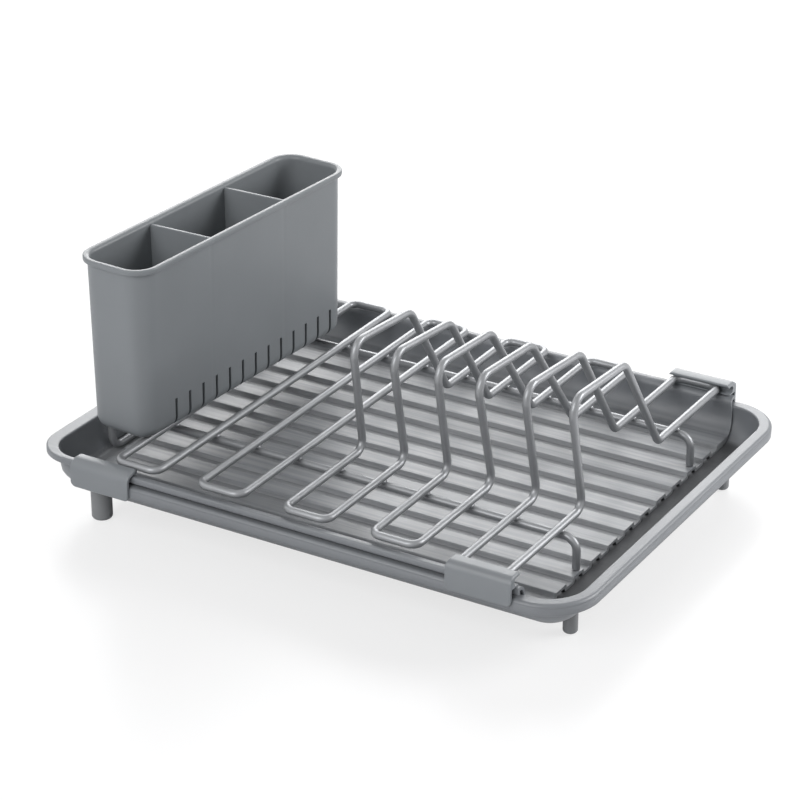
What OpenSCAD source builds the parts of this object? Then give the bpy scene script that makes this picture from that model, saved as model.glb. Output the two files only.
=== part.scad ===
// Extending sink drainer tray: two nested drip trays that slide apart, a lift-out
// rack of bent wire loops with plate slots, and a lift-off cutlery caddy.
// Frame: millimetres, X along the trays, Y to the back, Z up. The origin is on the
// worktop, in the middle of the closed tray.

/* [Closed tray] */
// Closed width over both end rims
closed_w = 364; // [340:1:400]
// Height of the outer tray's underside over the worktop
foot_h = 15.8; // [12:0.1:22]
// Thickness of the tray sheet
wall_t = 1.8; // [1.4:0.1:2]
// Running gap between the nested trays
nest_gap = 0.3; // [0.3:0.05:0.4]

/* [Outer tray] */
// Distance of its open left edge from the closed left rim
outer_open_in = 47; // [44:0.5:70]
// Depth over its front and back rims
outer_d = 286; // [270:1:310]
// Radius of its two right corners, at the rim edge
outer_corner_r = 32; // [30:1:38]
// Width of the flat top of its rim
outer_rim_w = 8.1; // [7:0.1:9]
// Height of the band that the rim turns down
outer_band_h = 7; // [5:0.1:8]
// Radius of the bend from floor to wall, on its outside
tray_bend_r = 20; // [18:0.5:21]
// Height of its rim over its underside
outer_rim_rise = 22.2; // [21.5:0.1:24]

/* [Inner tray] */
// Distance of its open right edge from the closed right rim
inner_open_in = 31.7; // [27:0.1:60]
// Radius of its two left corners, at the rim edge
inner_corner_r = 25; // [24:1:30]
// Width of the flat top of its rim
inner_rim_w = 7; // [5:0.1:7.4]
// Width of its rim at the left end
end_rim_w = 9.5; // [8:0.1:11]
// Radius of the corners inside its left end
inner_well_r = 15; // [10:0.5:17]
// How far its left wall leans in from rim to floor
end_lean = 5; // [2:0.1:6]
// Height of the band that the rim turns down
inner_band_h = 3.9; // [3:0.1:4.2]
// Gap between the inner tray's band and the outer tray's rim top
rim_gap = 1.3; // [0.8:0.1:2]

/* [Floor ribs] */
// Distance from one rib to the next
rib_pitch = 21; // [19:0.5:22]
// Number of ribs across the tray
rib_count = 10; // [8:2:10]
// Width of a rib's flat top, on the inner tray
rib_w = 11.5; // [9:0.1:12]
// Height of a rib over the floor
rib_h = 2.5; // [1.5:0.1:3]
// How far a rib's side leans out from its top to the floor
rib_lean = 1; // [0.5:0.1:1.5]
// Distance from the end rim to the round end of the ribs
rib_end_in = 22; // [20:0.5:35]

/* [Feet] */
// Diameter of the two feet under the inner tray
inner_foot_d = 12.7; // [10:0.1:14]
// Gap between them and the outer tray's open edge
inner_foot_gap = 1.75; // [0.5:0.05:3]
// Distance of their centres from the front or back rim
inner_foot_side = 16.8; // [16:0.1:20]
// Diameter of the two feet under the outer tray
outer_foot_d = 8.6; // [7:0.1:11]
// Distance of their centres from the right rim
outer_foot_in = 22.8; // [20:0.1:40]
// Distance of their centres from the front or back rim
outer_foot_side = 43.5; // [30:0.5:60]
// Radius of a foot's rounded lower edge
foot_edge_r = 2; // [1:0.1:3]

/* [Wire rack] */
// Diameter of the coated wire
wire_d = 4.8; // [4:0.1:5]
// Number of wire loops
loop_count = 5; // [5:1:5]
// Number of loops, counted from the left, that lie flat
flat_loops = 2; // [1:1:3]
// Distance of the loops' end wires from the outer tray's rim edge
loop_end_in = 12; // [12:0.5:20]
// Distance of the last loop's end wires, which the rack clips hold
clip_loop_in = 5; // [4.5:0.1:6]
// Radius of a loop's corners, at the wire's centre
loop_corner_r = 8; // [6:0.5:10]
// Height of the flat wires' centres over the inner tray's rim
wire_rise = 3.5; // [3.3:0.1:6]
// Distance from the left rim to the first lengthwise wire
first_wire_in = 58; // [56:0.5:60]
// Distance from the right rim to the last one
last_wire_in = 45; // [43:0.5:60]
// Radius of the bends of the plate holders, at the wire's centre
holder_bend_r = 7; // [5:0.5:8]
// Place of the front foot of a plate holder, back from the middle
holder_front_y = -45; // [-52:0.5:-40]
// Place of its front top bend
holder_top_front_y = -60; // [-66:0.5:-54]
// Place of its back top bend
holder_top_back_y = 4; // [-2:0.5:10]
// Place of its back foot
holder_back_y = 54; // [48:0.5:60]
// Rise of the front top bend over the flat wires
holder_front_rise = 73; // [55:0.5:80]
// Rise of the back top bend over the flat wires
holder_back_rise = 70.5; // [55:0.5:80]

/* [Cross bars] */
// Place of the front bar, back from the middle
front_bar_y = -71; // [-76:0.5:-70]
// Place of the back bar
back_bar_y = 77; // [70:0.5:77]
// Radius of the bend from a bar into its leg, at the wire's centre
leg_bend_r = 8; // [6:0.5:10]
// How far the bars reach past the first loop wire
bar_end = 6; // [4:0.5:10]
// Distance of the right legs from the inner tray's open edge
right_leg_in = 3; // [3:0.1:8]
// Distance of the caddy rest wire's floor run from the left rim
rest_wire_in = 17; // [17:0.1:17.5]
// Distance of its two legs from the middle
rest_leg_y = 80.5; // [60:0.5:88]

/* [Clips] */
// Length of a clip along the rim
clip_l = 41; // [30:0.5:44]
// Thickness of a clip's sheet
clip_t = 2; // [1.6:0.1:2.4]
// How far the guide clip reaches past the outer tray's open edge
guide_clip_out = 14; // [5:0.5:15]
// Radius of a clip's four corners, seen from the front
clip_corner_r = 2.5; // [1.5:0.1:3.5]
// Reach of the guide clip's lip over the rims
guide_lip = 10.7; // [8:0.1:11]
// Rise of the guide clip's lip over the inner rim
guide_lip_gap = 1.6; // [1:0.1:2.5]
// Radius of its outer bend
guide_bend_r = 4; // [3:0.1:4.5]
// How far a rack clip's lip reaches in past the last loop's end
rack_lip = 4; // [2:0.5:5]
// How far a rack clip hangs below the outer tray's rim top
rack_clip_drop = 4.5; // [3:0.1:6.5]

/* [Caddy] */
// Width over its rim
caddy_w = 52; // [46:0.5:54]
// Length over its rim
caddy_l = 208; // [190:1:212]
// Height
caddy_h = 110.8; // [90:0.5:140]
// Thickness of its walls
caddy_wall = 1.8; // [1.4:0.1:2.4]
// Overhang of its rim
caddy_rim = 2.6; // [1.8:0.1:3.2]
// Height of its rim
caddy_rim_h = 3.6; // [2.5:0.1:5]
// Radius of its upright corners
caddy_corner_r = 13; // [11:0.5:16]
// Radius of its lower edge
caddy_edge_r = 8; // [6:0.5:10]
// How far each side leans in from rim to floor
caddy_lean = 1.3; // [0.5:0.1:2]
// Distance of the two dividers from the middle
divider_y = 36; // [25:0.5:45]
// Thickness of a divider
divider_t = 2; // [1.2:0.1:2.4]
// Number of drain slots in each long side
slot_count = 13; // [7:2:15]
// Distance from one drain slot to the next
slot_pitch = 13; // [10:0.1:13.5]
// How far the row of slots sits behind the caddy's middle
slot_shift = 6; // [0:0.5:8]
// Width of a drain slot
slot_w = 2.2; // [1.5:0.1:3]
// Height of a drain slot over the caddy's underside
slot_h = 19.5; // [14:0.5:26]
// Distance of its middle from the first loop wire
caddy_gap = 8.2; // [6:0.1:10]
// Place of its middle, back from the middle of the tray
caddy_y = -9.3; // [-15:0.1:0]
// How far it is turned on the rack, in degrees
caddy_turn = -3.7; // [-4:0.1:0]

/* [Hidden] */
$fn = 64;

// One overrun serves every cut
overrun = 1;
// A right angle
quarter_turn = 90;
// Clearance of what rests on another body
seat_gap = 0.3;
// Clearance of a wire at its weld, and of the wire that a rack clip holds
weld_gap = 0.05;
// Clearance of a foot's hollow top on the bend that it carries
foot_gap = 0.15;
// Radius that breaks the rims' outer top edges
rim_edge_r = 1.2;
// Thickness of the bands that the rims turn down
band_t = 1.6;

tray_grey = [0.50, 0.52, 0.54];
clip_grey = [0.53, 0.55, 0.57];
wire_grey = [0.66, 0.67, 0.68];
foot_grey = [0.36, 0.37, 0.38];
caddy_grey = [0.48, 0.50, 0.52];

// Places along X
left_x = -closed_w / 2;
right_x = closed_w / 2;
inner_open_x = right_x - inner_open_in;
outer_open_x = left_x + outer_open_in;
inner_w = closed_w - inner_open_in;
outer_w = closed_w - outer_open_in;
first_wire_x = left_x + first_wire_in;
wire_pitch = (closed_w - first_wire_in - last_wire_in) / (2 * loop_count - 1);
last_loop_x = first_wire_x + (2 * loop_count - 1.5) * wire_pitch;
rib_left_x = left_x + rib_end_in;

// Section of the outer tray, from its underside up
outer_floor = foot_h + wall_t;
outer_half = outer_d / 2;
outer_rim_top = foot_h + outer_rim_rise;
outer_wall_y = outer_half - outer_rim_w;
bend_y = outer_wall_y + wall_t - tray_bend_r;
bend_h = foot_h + tray_bend_r;

// Section of the inner tray, nested in the outer one
inner_under = outer_floor + nest_gap;
inner_floor = inner_under + wall_t;
inner_bend_r = tray_bend_r - wall_t - nest_gap;
inner_wall_y = outer_wall_y - nest_gap - wall_t;
inner_half = inner_wall_y + inner_rim_w;
inner_rim_top = outer_rim_top + rim_gap + inner_band_h;
rib_top = inner_floor + rib_h;

// The outer tray's ribs are narrower, to run inside the inner tray's ribs
inner_rib_under_w = rib_w - 2 * wall_t;
outer_rib_w = inner_rib_under_w - 2 * nest_gap;
outer_rib_under_w = outer_rib_w - 2 * wall_t;

// The coating is this much thicker in a bend, and a straight length laps into it
bend_coat = 0.03;
bend_lap = 0.2;

// Heights in the rack
wire_h = inner_rim_top + wire_rise;
wire_r = wire_d / 2;
bar_h = wire_h - wire_d - weld_gap;
caddy_under = wire_h + wire_r + seat_gap;
loop_half = outer_half - loop_end_in;
clip_loop_half = outer_half - clip_loop_in;
// Lowest and highest edge of the clips
guide_low = outer_rim_top - outer_band_h - clip_t;
guide_high = inner_rim_top + guide_lip_gap + clip_t;
rack_low = outer_rim_top - rack_clip_drop;
rack_high = wire_h + wire_r + weld_gap + clip_t;

caddy_half_w = caddy_w / 2 - caddy_rim - caddy_corner_r;
caddy_half_l = caddy_l / 2 - caddy_rim - caddy_corner_r;

// Section of a tray's wall. X runs outward from the centre of the corner, Y is height.
module wall_section(corner_r, rim_w, bend_r, floor_top, rim_top, band_h) {
    wall_in = corner_r - rim_w;
    bend_in = bend_r - wall_t;
    bend_x = wall_in - bend_in;
    bend_top = floor_top + bend_in;
    translate([0, floor_top - wall_t]) square([bend_x, wall_t]);
    intersection() {
        difference() {
            translate([bend_x, bend_top]) circle(r = bend_r);
            translate([bend_x, bend_top]) circle(r = bend_in);
        }
        translate([bend_x, floor_top - wall_t]) square([bend_r, bend_r]);
    }
    translate([wall_in, bend_top]) square([wall_t, rim_top - bend_top]);
    rim_section(wall_in, corner_r, rim_top, band_h);
}

// Section of a rim: a flat top and a band turned down, with the top edge broken round
module rim_section(from_x, to_x, top, band_h) {
    translate([from_x, top - wall_t]) square([to_x - rim_edge_r - from_x, wall_t]);
    translate([to_x - band_t, top - band_h]) square([band_t, band_h - rim_edge_r]);
    intersection() {
        translate([to_x - rim_edge_r, top - rim_edge_r]) circle(r = rim_edge_r);
        translate([to_x - rim_edge_r, top - rim_edge_r]) square(rim_edge_r);
    }
    translate([to_x - wall_t, top - wall_t]) square([wall_t - rim_edge_r, wall_t]);
    translate([to_x - wall_t, top - wall_t]) square([wall_t, wall_t - rim_edge_r]);
}

// A trough with a closed end at x = 0 and an open end at x = length. Its child is the
// section of its wall, drawn outward from the centre of a corner.
module trough(length, half_d, corner_r, floor_top) {
    side_y = half_d - corner_r;
    for (side = [0, 1]) mirror([0, side, 0]) {
        translate([corner_r, side_y, 0]) rotate([90, 0, 90])
            linear_extrude(height = length - corner_r) children();
        translate([corner_r, side_y, 0]) rotate([0, 0, 90])
            rotate_extrude(angle = 90) children();
    }
    translate([corner_r, side_y, 0]) mirror([1, 0, 0]) rotate([90, 0, 0])
        linear_extrude(height = 2 * side_y) children();
    translate([corner_r - wall_t, -side_y - wall_t, floor_top - wall_t])
        cube([length - corner_r + wall_t, 2 * (side_y + wall_t), wall_t]);
}

// One rib from x = 0 on, with a round left end and leaning sides
module rib(length, top_w, height) {
    foot_w = top_w + 2 * rib_lean;
    translate([top_w / 2, 0, 0]) {
        rotate([90, 0, 90]) linear_extrude(height = length - top_w / 2)
            polygon([[-foot_w / 2, 0], [foot_w / 2, 0], [top_w / 2, height], [-top_w / 2, height]]);
        cylinder(r1 = foot_w / 2, r2 = top_w / 2, h = height);
    }
}

// The row of ribs across a floor, each from x = start to x = end
module rib_row(start, end, top_w, height) {
    for (i = [0:rib_count - 1])
        translate([start, (i - (rib_count - 1) / 2) * rib_pitch, 0])
            rib(end - start, top_w, height);
}

// The raised ledge between the last rib and the wall, rounded into the wall's bend
module ledge(start, end) {
    ledge_y = ((rib_count + 1) * rib_pitch - rib_w) / 2;
    for (side = [0, 1]) mirror([0, side, 0])
        translate([start, 0, 0]) rotate([90, 0, 90]) linear_extrude(height = end - start)
            intersection() {
                polygon([[ledge_y - rib_lean, inner_floor], [ledge_y, rib_top],
                    [inner_wall_y, rib_top], [inner_wall_y, inner_floor - wall_t / 2],
                    [ledge_y, inner_floor - wall_t / 2]]);
                union() {
                    translate([bend_y, bend_h]) circle(r = inner_bend_r - wall_t / 2);
                    translate([0, inner_floor - wall_t / 2]) square([bend_y, rib_h + wall_t]);
                }
            }
}

// The space inside the inner tray, grown by a distance: a trough with bent sides, cut by
// its leaning left wall and by the round corners of its left end
module well(grow, top) {
    side_y = inner_wall_y + grow;
    bottom = inner_floor - grow;
    edge_r = inner_bend_r - wall_t + grow;
    end_x = left_x + end_rim_w - grow;
    length = closed_w - end_rim_w;
    corner_r = inner_well_r + grow;
    intersection() {
        translate([end_x, 0, 0]) rotate([90, 0, 90]) linear_extrude(height = length) {
            translate([-side_y, bend_h]) square([2 * side_y, top - bend_h]);
            translate([-bend_y, bottom]) square([2 * bend_y, top - bottom]);
            for (side = [-1, 1]) translate([side * bend_y, bend_h]) circle(r = edge_r);
        }
        translate([0, side_y, 0]) rotate([90, 0, 0]) linear_extrude(height = 2 * side_y)
            polygon([[end_x, top], [end_x, inner_rim_top], [end_x + end_lean, bottom],
                [end_x + length, bottom], [end_x + length, top]]);
        linear_extrude(height = top) {
            translate([end_x, corner_r - side_y]) square([length, 2 * (side_y - corner_r)]);
            translate([end_x + corner_r, -side_y]) square([length - corner_r, 2 * side_y]);
            for (side = [-1, 1])
                translate([end_x + corner_r, side * (side_y - corner_r)]) circle(r = corner_r);
        }
    }
}

// The inner tray's rim, run along both sides and round its left end
module inner_rim() {
    side_y = inner_half - inner_corner_r;
    run_in = inner_corner_r - end_rim_w - wall_t;
    for (side = [0, 1]) mirror([0, side, 0]) translate([left_x + inner_corner_r, side_y, 0]) {
        rotate([90, 0, 90]) linear_extrude(height = inner_w - inner_corner_r)
            rim_section(run_in, inner_corner_r, inner_rim_top, inner_band_h);
        rotate([0, 0, 90]) rotate_extrude(angle = 90)
            rim_section(run_in, inner_corner_r, inner_rim_top, inner_band_h);
    }
    translate([left_x + inner_corner_r, side_y, 0]) mirror([1, 0, 0]) rotate([90, 0, 0])
        linear_extrude(height = 2 * side_y)
            rim_section(run_in, inner_corner_r, inner_rim_top, inner_band_h);
}

module inner_tray() color(tray_grey) {
    difference() {
        union() {
            difference() {
                union() {
                    well(wall_t, inner_rim_top);
                    inner_rim();
                }
                well(0, inner_rim_top + overrun);
                translate([inner_open_x, -inner_half, 0])
                    cube([inner_open_in, 2 * inner_half, inner_rim_top + overrun]);
            }
            translate([0, 0, inner_floor])
                rib_row(rib_left_x, inner_open_x, rib_w, rib_h);
            ledge(rib_left_x, inner_open_x);
        }
        translate([0, 0, inner_under])
            rib_row(rib_left_x + wall_t, inner_open_x + overrun, inner_rib_under_w, rib_h);
    }
}

module outer_tray() color(tray_grey) mirror([1, 0, 0]) {
    difference() {
        union() {
            translate([left_x, 0, 0])
                trough(outer_w, outer_half, outer_corner_r, outer_floor)
                    wall_section(outer_corner_r, outer_rim_w, tray_bend_r, outer_floor,
                        outer_rim_top, outer_band_h);
            translate([0, 0, outer_floor])
                rib_row(rib_left_x, -outer_open_x, outer_rib_w, rib_h);
        }
        translate([0, 0, foot_h])
            rib_row(rib_left_x + wall_t, -outer_open_x + overrun, outer_rib_under_w, rib_h);
    }
}

// A foot with a rounded lower edge, from the worktop up
module foot(diameter, height) {
    rotate_extrude() {
        square([diameter / 2 - foot_edge_r, height]);
        translate([0, foot_edge_r]) square([diameter / 2, height - foot_edge_r]);
        intersection() {
            translate([diameter / 2 - foot_edge_r, foot_edge_r]) circle(r = foot_edge_r);
            translate([diameter / 2 - foot_edge_r, 0]) square(foot_edge_r);
        }
    }
}

// The foot under a left corner is cut to the bend of the wall that it carries
module inner_foot(side) color(foot_grey)
    difference() {
        translate([outer_open_x - inner_foot_gap - inner_foot_d / 2,
            side * (inner_half - inner_foot_side), 0]) foot(inner_foot_d, bend_h);
        translate([left_x, side * bend_y, bend_h]) rotate([0, 90, 0])
            cylinder(r = inner_bend_r + foot_gap, h = closed_w);
        translate([left_x, -bend_y, inner_under - foot_gap]) cube([closed_w, 2 * bend_y, bend_h]);
    }

module outer_foot(side) color(foot_grey)
    translate([right_x - outer_foot_in, side * (outer_half - outer_foot_side), 0])
        foot(outer_foot_d, foot_h);

function heading(p, q) = atan2(q[1] - p[1], q[0] - p[0]);
function wrapped(a) = a > 180 ? a - 360 : (a < -180 ? a + 360 : a);
function turn_at(pts, i) = wrapped(heading(pts[i], pts[i + 1]) - heading(pts[i - 1], pts[i]));
function is_end(pts, i) = i == 0 || i == len(pts) - 1;
function trim_at(pts, i, r) = is_end(pts, i) ? 0 : r * tan(abs(turn_at(pts, i)) / 2) - bend_lap;
function toward(p, q, step) = p + (q - p) * step / norm(q - p);

// A bar of wire between two points of a plane
module wire_between(a, b)
    translate([a[0], a[1], 0]) rotate([0, 0, heading(a, b)]) rotate([0, 90, 0])
        cylinder(r = wire_r, h = norm(b - a));

// A bend of the wire round a point of a plane, from one angle on
module wire_bend(centre, r, start, turn)
    translate([centre[0], centre[1], 0]) rotate([0, 0, start])
        rotate_extrude(angle = turn) translate([r, 0]) circle(r = wire_r + bend_coat);

// Wire along a list of points of a plane, with every inner point bent to radius r. The
// straight lengths end a little way inside the bends, where the coating is thicker.
module wire_run(pts, r) {
    for (i = [0:len(pts) - 2])
        wire_between(toward(pts[i], pts[i + 1], trim_at(pts, i, r)),
            toward(pts[i + 1], pts[i], trim_at(pts, i + 1, r)));
    for (i = [1:len(pts) - 2]) {
        turn = turn_at(pts, i);
        way = heading(pts[i - 1], pts[i]);
        side = turn > 0 ? 1 : -1;
        start = toward(pts[i], pts[i - 1], r * tan(abs(turn) / 2));
        from = way - quarter_turn * side + min(turn, 0);
        wire_bend(start + r * side * [-sin(way), cos(way)], r, from, abs(turn));
    }
}

// One lengthwise wire of a loop, seen from the right: X of the list is Y, Y is height
module loop_side(half_l, holder) {
    straight = half_l - loop_corner_r;
    pts = holder
        ? [[-straight, wire_h], [holder_front_y, wire_h],
           [holder_top_front_y, wire_h + holder_front_rise],
           [holder_top_back_y, wire_h + holder_back_rise],
           [holder_back_y, wire_h], [straight, wire_h]]
        : [[-straight, wire_h], [0, wire_h], [straight, wire_h]];
    rotate([90, 0, 90])
        if (holder) wire_run(pts, holder_bend_r);
        else wire_between(pts[0], pts[2]);
}

// A closed loop of wire around two neighbouring lines
module wire_loop(number) color(wire_grey) {
    half_l = number == loop_count ? clip_loop_half : loop_half;
    x = first_wire_x + 2 * (number - 1) * wire_pitch;
    for (step = [0, 1]) translate([x + step * wire_pitch, 0, 0])
        loop_side(half_l, number > flat_loops);
    for (end = [0, 1]) mirror([0, end, 0]) translate([x, half_l, wire_h]) {
        translate([loop_corner_r, 0, 0]) rotate([0, 90, 0])
            cylinder(r = wire_r, h = wire_pitch - 2 * loop_corner_r);
        translate([loop_corner_r, -loop_corner_r, 0]) rotate([0, 0, 90])
            rotate_extrude(angle = 90) translate([loop_corner_r, 0]) circle(r = wire_r);
        translate([wire_pitch - loop_corner_r, -loop_corner_r, 0])
            rotate_extrude(angle = 90) translate([loop_corner_r, 0]) circle(r = wire_r);
    }
}

// A bar under the wires, with a leg at its right end that stands on a rib
module cross_bar(y) color(wire_grey) {
    leg_x = inner_open_x - right_leg_in;
    translate([0, y, 0]) rotate([90, 0, 0])
        wire_run([[first_wire_x - bar_end, bar_h], [leg_x, bar_h], [leg_x, rib_top + seat_gap]],
            leg_bend_r);
}

// The wire under the caddy. It lies on the tray's floor beside the left wall, rises at
// both ends and turns right into two arms, which carry the caddy and end at the first loop.
module caddy_rest_wire() color(wire_grey) {
    x = left_x + rest_wire_in;
    run_h = inner_floor + wire_r + seat_gap;
    leg_top = wire_h - leg_bend_r + bend_lap;
    arm_end = first_wire_x - wire_r - weld_gap;
    translate([x, 0, 0]) rotate([90, 0, 90])
        wire_run([[-rest_leg_y, leg_top], [-rest_leg_y, run_h], [rest_leg_y, run_h],
            [rest_leg_y, leg_top]], leg_bend_r);
    for (side = [-1, 1]) translate([0, side * rest_leg_y, 0]) rotate([90, 0, 0]) {
        wire_bend([x + leg_bend_r, wire_h - leg_bend_r], leg_bend_r, quarter_turn, quarter_turn);
        wire_between([x + leg_bend_r - bend_lap, wire_h], [arm_end, wire_h]);
    }
}

// Runs a clip's section along a rim and rounds its corners, seen from the front. The section
// lies in a plane across the rim: X is Y outward, Y is height.
module clip_along(x, low, high, side) {
    flat_l = clip_l - 2 * clip_corner_r;
    flat_h = high - low - 2 * clip_corner_r;
    intersection() {
        translate([x, 0, 0]) mirror([0, side < 0 ? 1 : 0, 0]) rotate([90, 0, 90])
            linear_extrude(height = clip_l) children();
        translate([x, outer_d, 0]) rotate([90, 0, 0]) linear_extrude(height = 2 * outer_d) {
            translate([clip_corner_r, low]) square([flat_l, high - low]);
            translate([0, low + clip_corner_r]) square([clip_l, flat_h]);
            for (sx = [0, 1], sz = [0, 1])
                translate([clip_corner_r + sx * flat_l, low + clip_corner_r + sz * flat_h])
                    circle(r = clip_corner_r);
        }
    }
}

// Section of the guide clip: it grips the outer tray's rim band and reaches over the
// inner tray's rim, which slides through it
module guide_section() {
    hook_h = guide_low + clip_t;
    lip_under = guide_high - clip_t;
    bend_in = guide_bend_r - clip_t;
    bend_at = outer_half - bend_in;
    hook_w = 2 * clip_t;
    ledge_w = outer_half - inner_half - seat_gap - wall_t / 2;
    lip_in = outer_half + clip_t - guide_lip;
    translate([outer_half, guide_low]) square([clip_t, lip_under - bend_in - guide_low]);
    intersection() {
        difference() {
            translate([bend_at, lip_under - bend_in]) circle(r = guide_bend_r);
            translate([bend_at, lip_under - bend_in]) circle(r = bend_in);
        }
        translate([bend_at, lip_under - bend_in]) square(guide_bend_r);
    }
    translate([lip_in, lip_under]) square([bend_at - lip_in, clip_t]);
    translate([outer_half + clip_t - hook_w, guide_low]) square([hook_w - clip_t, clip_t]);
    translate([outer_half + clip_t - hook_w, hook_h - clip_t / 2]) circle(r = clip_t / 2);
    translate([outer_half - ledge_w, outer_rim_top]) square([ledge_w, rim_gap]);
}

module guide_clip() color(clip_grey)
    clip_along(outer_open_x - guide_clip_out, guide_low, guide_high, -1) guide_section();

// Section of a rack clip: a jaw that holds the last loop's end wire, a lip over it and a
// skirt outside both rims, clear of them, so that the rack lifts straight off
module rack_section() {
    face = outer_half + seat_gap;
    hold_r = wire_r + weld_gap;
    jaw_in = clip_loop_half - hold_r;
    lip_in = clip_loop_half - rack_lip;
    lip_under = rack_high - clip_t;
    jaw_under = inner_rim_top + seat_gap;
    difference() {
        translate([jaw_in, jaw_under]) square([face - jaw_in, lip_under - jaw_under]);
        translate([clip_loop_half, wire_h]) circle(r = hold_r);
        translate([jaw_in - overrun, wire_h - hold_r])
            square([hold_r + overrun, 2 * hold_r + overrun]);
    }
    translate([face, rack_low]) square([clip_t, lip_under - rack_low]);
    translate([lip_in, lip_under]) square([face - lip_in, clip_t]);
    intersection() {
        translate([face, lip_under]) circle(r = clip_t);
        translate([face, lip_under]) square(clip_t);
    }
}

module rack_clip(side) color(clip_grey)
    clip_along(last_loop_x - clip_l / 2, rack_low, rack_high, side) rack_section();

// Draws its child, a section from the centre of a corner outward, round a rectangle whose
// corners have their centres at half_w and half_l
module round_box(half_w, half_l) {
    for (sx = [0, 1], sy = [0, 1]) mirror([sx, 0, 0]) mirror([0, sy, 0]) {
        translate([half_w, half_l, 0]) rotate_extrude(angle = 90) children();
        translate([half_w, half_l, 0]) rotate([90, 0, 0])
            linear_extrude(height = half_l) children();
        translate([0, half_l, 0]) rotate([90, 0, 90])
            linear_extrude(height = half_w) children();
    }
}

// Section of a block that leans in toward its floor and has a round lower edge
module caddy_section(inset, bottom, top) {
    upper = caddy_corner_r - inset;
    lower = upper - caddy_lean;
    edge_r = caddy_edge_r - inset;
    flat = lower - edge_r;
    polygon([[0, bottom], [flat, bottom], [flat, bottom + edge_r], [lower, bottom + edge_r],
        [upper, top], [0, top]]);
    intersection() {
        translate([flat, bottom + edge_r]) circle(r = edge_r);
        translate([flat, bottom]) square(edge_r);
    }
}

// The block itself, filled in between its corners
module caddy_block(inset, bottom, top) {
    round_box(caddy_half_w, caddy_half_l) caddy_section(inset, bottom, top);
    translate([-caddy_half_w, -caddy_half_l, bottom])
        cube([2 * caddy_half_w, 2 * caddy_half_l, top - bottom]);
}

module caddy_rim_section() {
    top = caddy_under + caddy_h;
    inner = caddy_corner_r - caddy_wall;
    outer = caddy_corner_r + caddy_rim;
    bead_r = caddy_rim_h / 2;
    translate([inner, top - caddy_rim_h]) square([outer - bead_r - inner, caddy_rim_h]);
    translate([outer - bead_r, top - bead_r]) circle(r = bead_r);
}

module drain_slots() {
    floor_x = caddy_w / 2 - caddy_rim - caddy_lean - caddy_edge_r;
    slot_top = caddy_under + slot_h - slot_w / 2;
    for (side = [0, 1], i = [0:slot_count - 1])
        mirror([side, 0, 0])
            translate([floor_x, slot_shift + (i - (slot_count - 1) / 2) * slot_pitch, 0]) {
                translate([0, -slot_w / 2, caddy_under - overrun])
                    cube([caddy_w / 2, slot_w, slot_top - caddy_under + overrun]);
                translate([0, 0, slot_top]) rotate([0, 90, 0])
                    cylinder(d = slot_w, h = caddy_w / 2);
            }
}

module cutlery_caddy() color(caddy_grey)
    translate([first_wire_x - caddy_gap, caddy_y, 0]) rotate([0, 0, caddy_turn]) {
        top = caddy_under + caddy_h;
        divider_floor = caddy_under + caddy_wall;
        difference() {
            caddy_block(0, caddy_under, top);
            difference() {
                caddy_block(caddy_wall, caddy_under + caddy_wall, top + overrun);
                for (side = [-1, 1])
                    translate([-caddy_w / 2, side * divider_y - divider_t / 2, divider_floor])
                        cube([caddy_w, divider_t, top - divider_floor]);
            }
            drain_slots();
        }
        round_box(caddy_half_w, caddy_half_l) caddy_rim_section();
    }

inner_tray();
outer_tray();
inner_foot(-1);  // inner_foot_front
inner_foot(1);  // inner_foot_back
outer_foot(-1);  // outer_foot_front
outer_foot(1);  // outer_foot_back
guide_clip();  // guide_clip_front
wire_loop(1);  // wire_loop_1
wire_loop(2);  // wire_loop_2
wire_loop(3);  // wire_loop_3
wire_loop(4);  // wire_loop_4
wire_loop(5);  // wire_loop_5
cross_bar(front_bar_y);  // front_bar
cross_bar(back_bar_y);  // back_bar
caddy_rest_wire();
rack_clip(-1);  // rack_clip_front
rack_clip(1);  // rack_clip_back
cutlery_caddy();
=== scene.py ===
"""Studio scene of an extending dish drainer: two nested trays, a wire rack and a cutlery caddy."""

import logging
import math
from contextlib import contextmanager
from dataclasses import dataclass, field
from enum import Enum
from typing import Iterable, Iterator, Sequence

import bmesh
import bpy
import numpy as np
from mathutils import Matrix, Vector


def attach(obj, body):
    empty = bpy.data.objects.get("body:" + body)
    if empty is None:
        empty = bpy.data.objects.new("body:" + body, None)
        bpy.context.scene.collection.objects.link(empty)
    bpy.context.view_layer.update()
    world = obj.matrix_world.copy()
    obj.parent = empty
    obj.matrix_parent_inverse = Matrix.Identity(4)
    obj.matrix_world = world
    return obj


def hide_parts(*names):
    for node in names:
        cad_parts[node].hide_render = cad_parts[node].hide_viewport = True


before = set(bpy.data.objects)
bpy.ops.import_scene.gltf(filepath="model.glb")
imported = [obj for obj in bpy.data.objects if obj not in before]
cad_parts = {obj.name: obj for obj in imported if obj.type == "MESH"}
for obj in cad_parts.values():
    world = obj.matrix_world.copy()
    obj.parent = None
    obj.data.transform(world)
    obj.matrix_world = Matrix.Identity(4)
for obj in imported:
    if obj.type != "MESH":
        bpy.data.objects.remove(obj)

LOG = logging.getLogger("drainer")
MM = 0.001
# The part of a noise pattern's range that its values mostly fill
MIDDLE = (0.3, 0.7)
UNIT = (0, 1)
# A pattern that isn't stretched along any axis
EVEN = (1, 1, 1)
# Angles, in degrees, above which an edge stays sharp
SHARP, SHARP_TRAY, SHARP_CADDY = 40.0, 50.0, 30.0
# Distances, in metres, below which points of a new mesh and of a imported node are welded
WELD, WELD_NODE = 0.00001, 0.000005
# Number of faces across a rounded edge
BEVEL_STEPS = 3
# Degrees from the middle of a round corner to either of its ends
HALF_CORNER = 45

Point = tuple[float, float]
Place = tuple[float, float, float]
Colour = tuple[float, float, float]
Socket = bpy.types.NodeSocket
Tree = bpy.types.NodeTree
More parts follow.
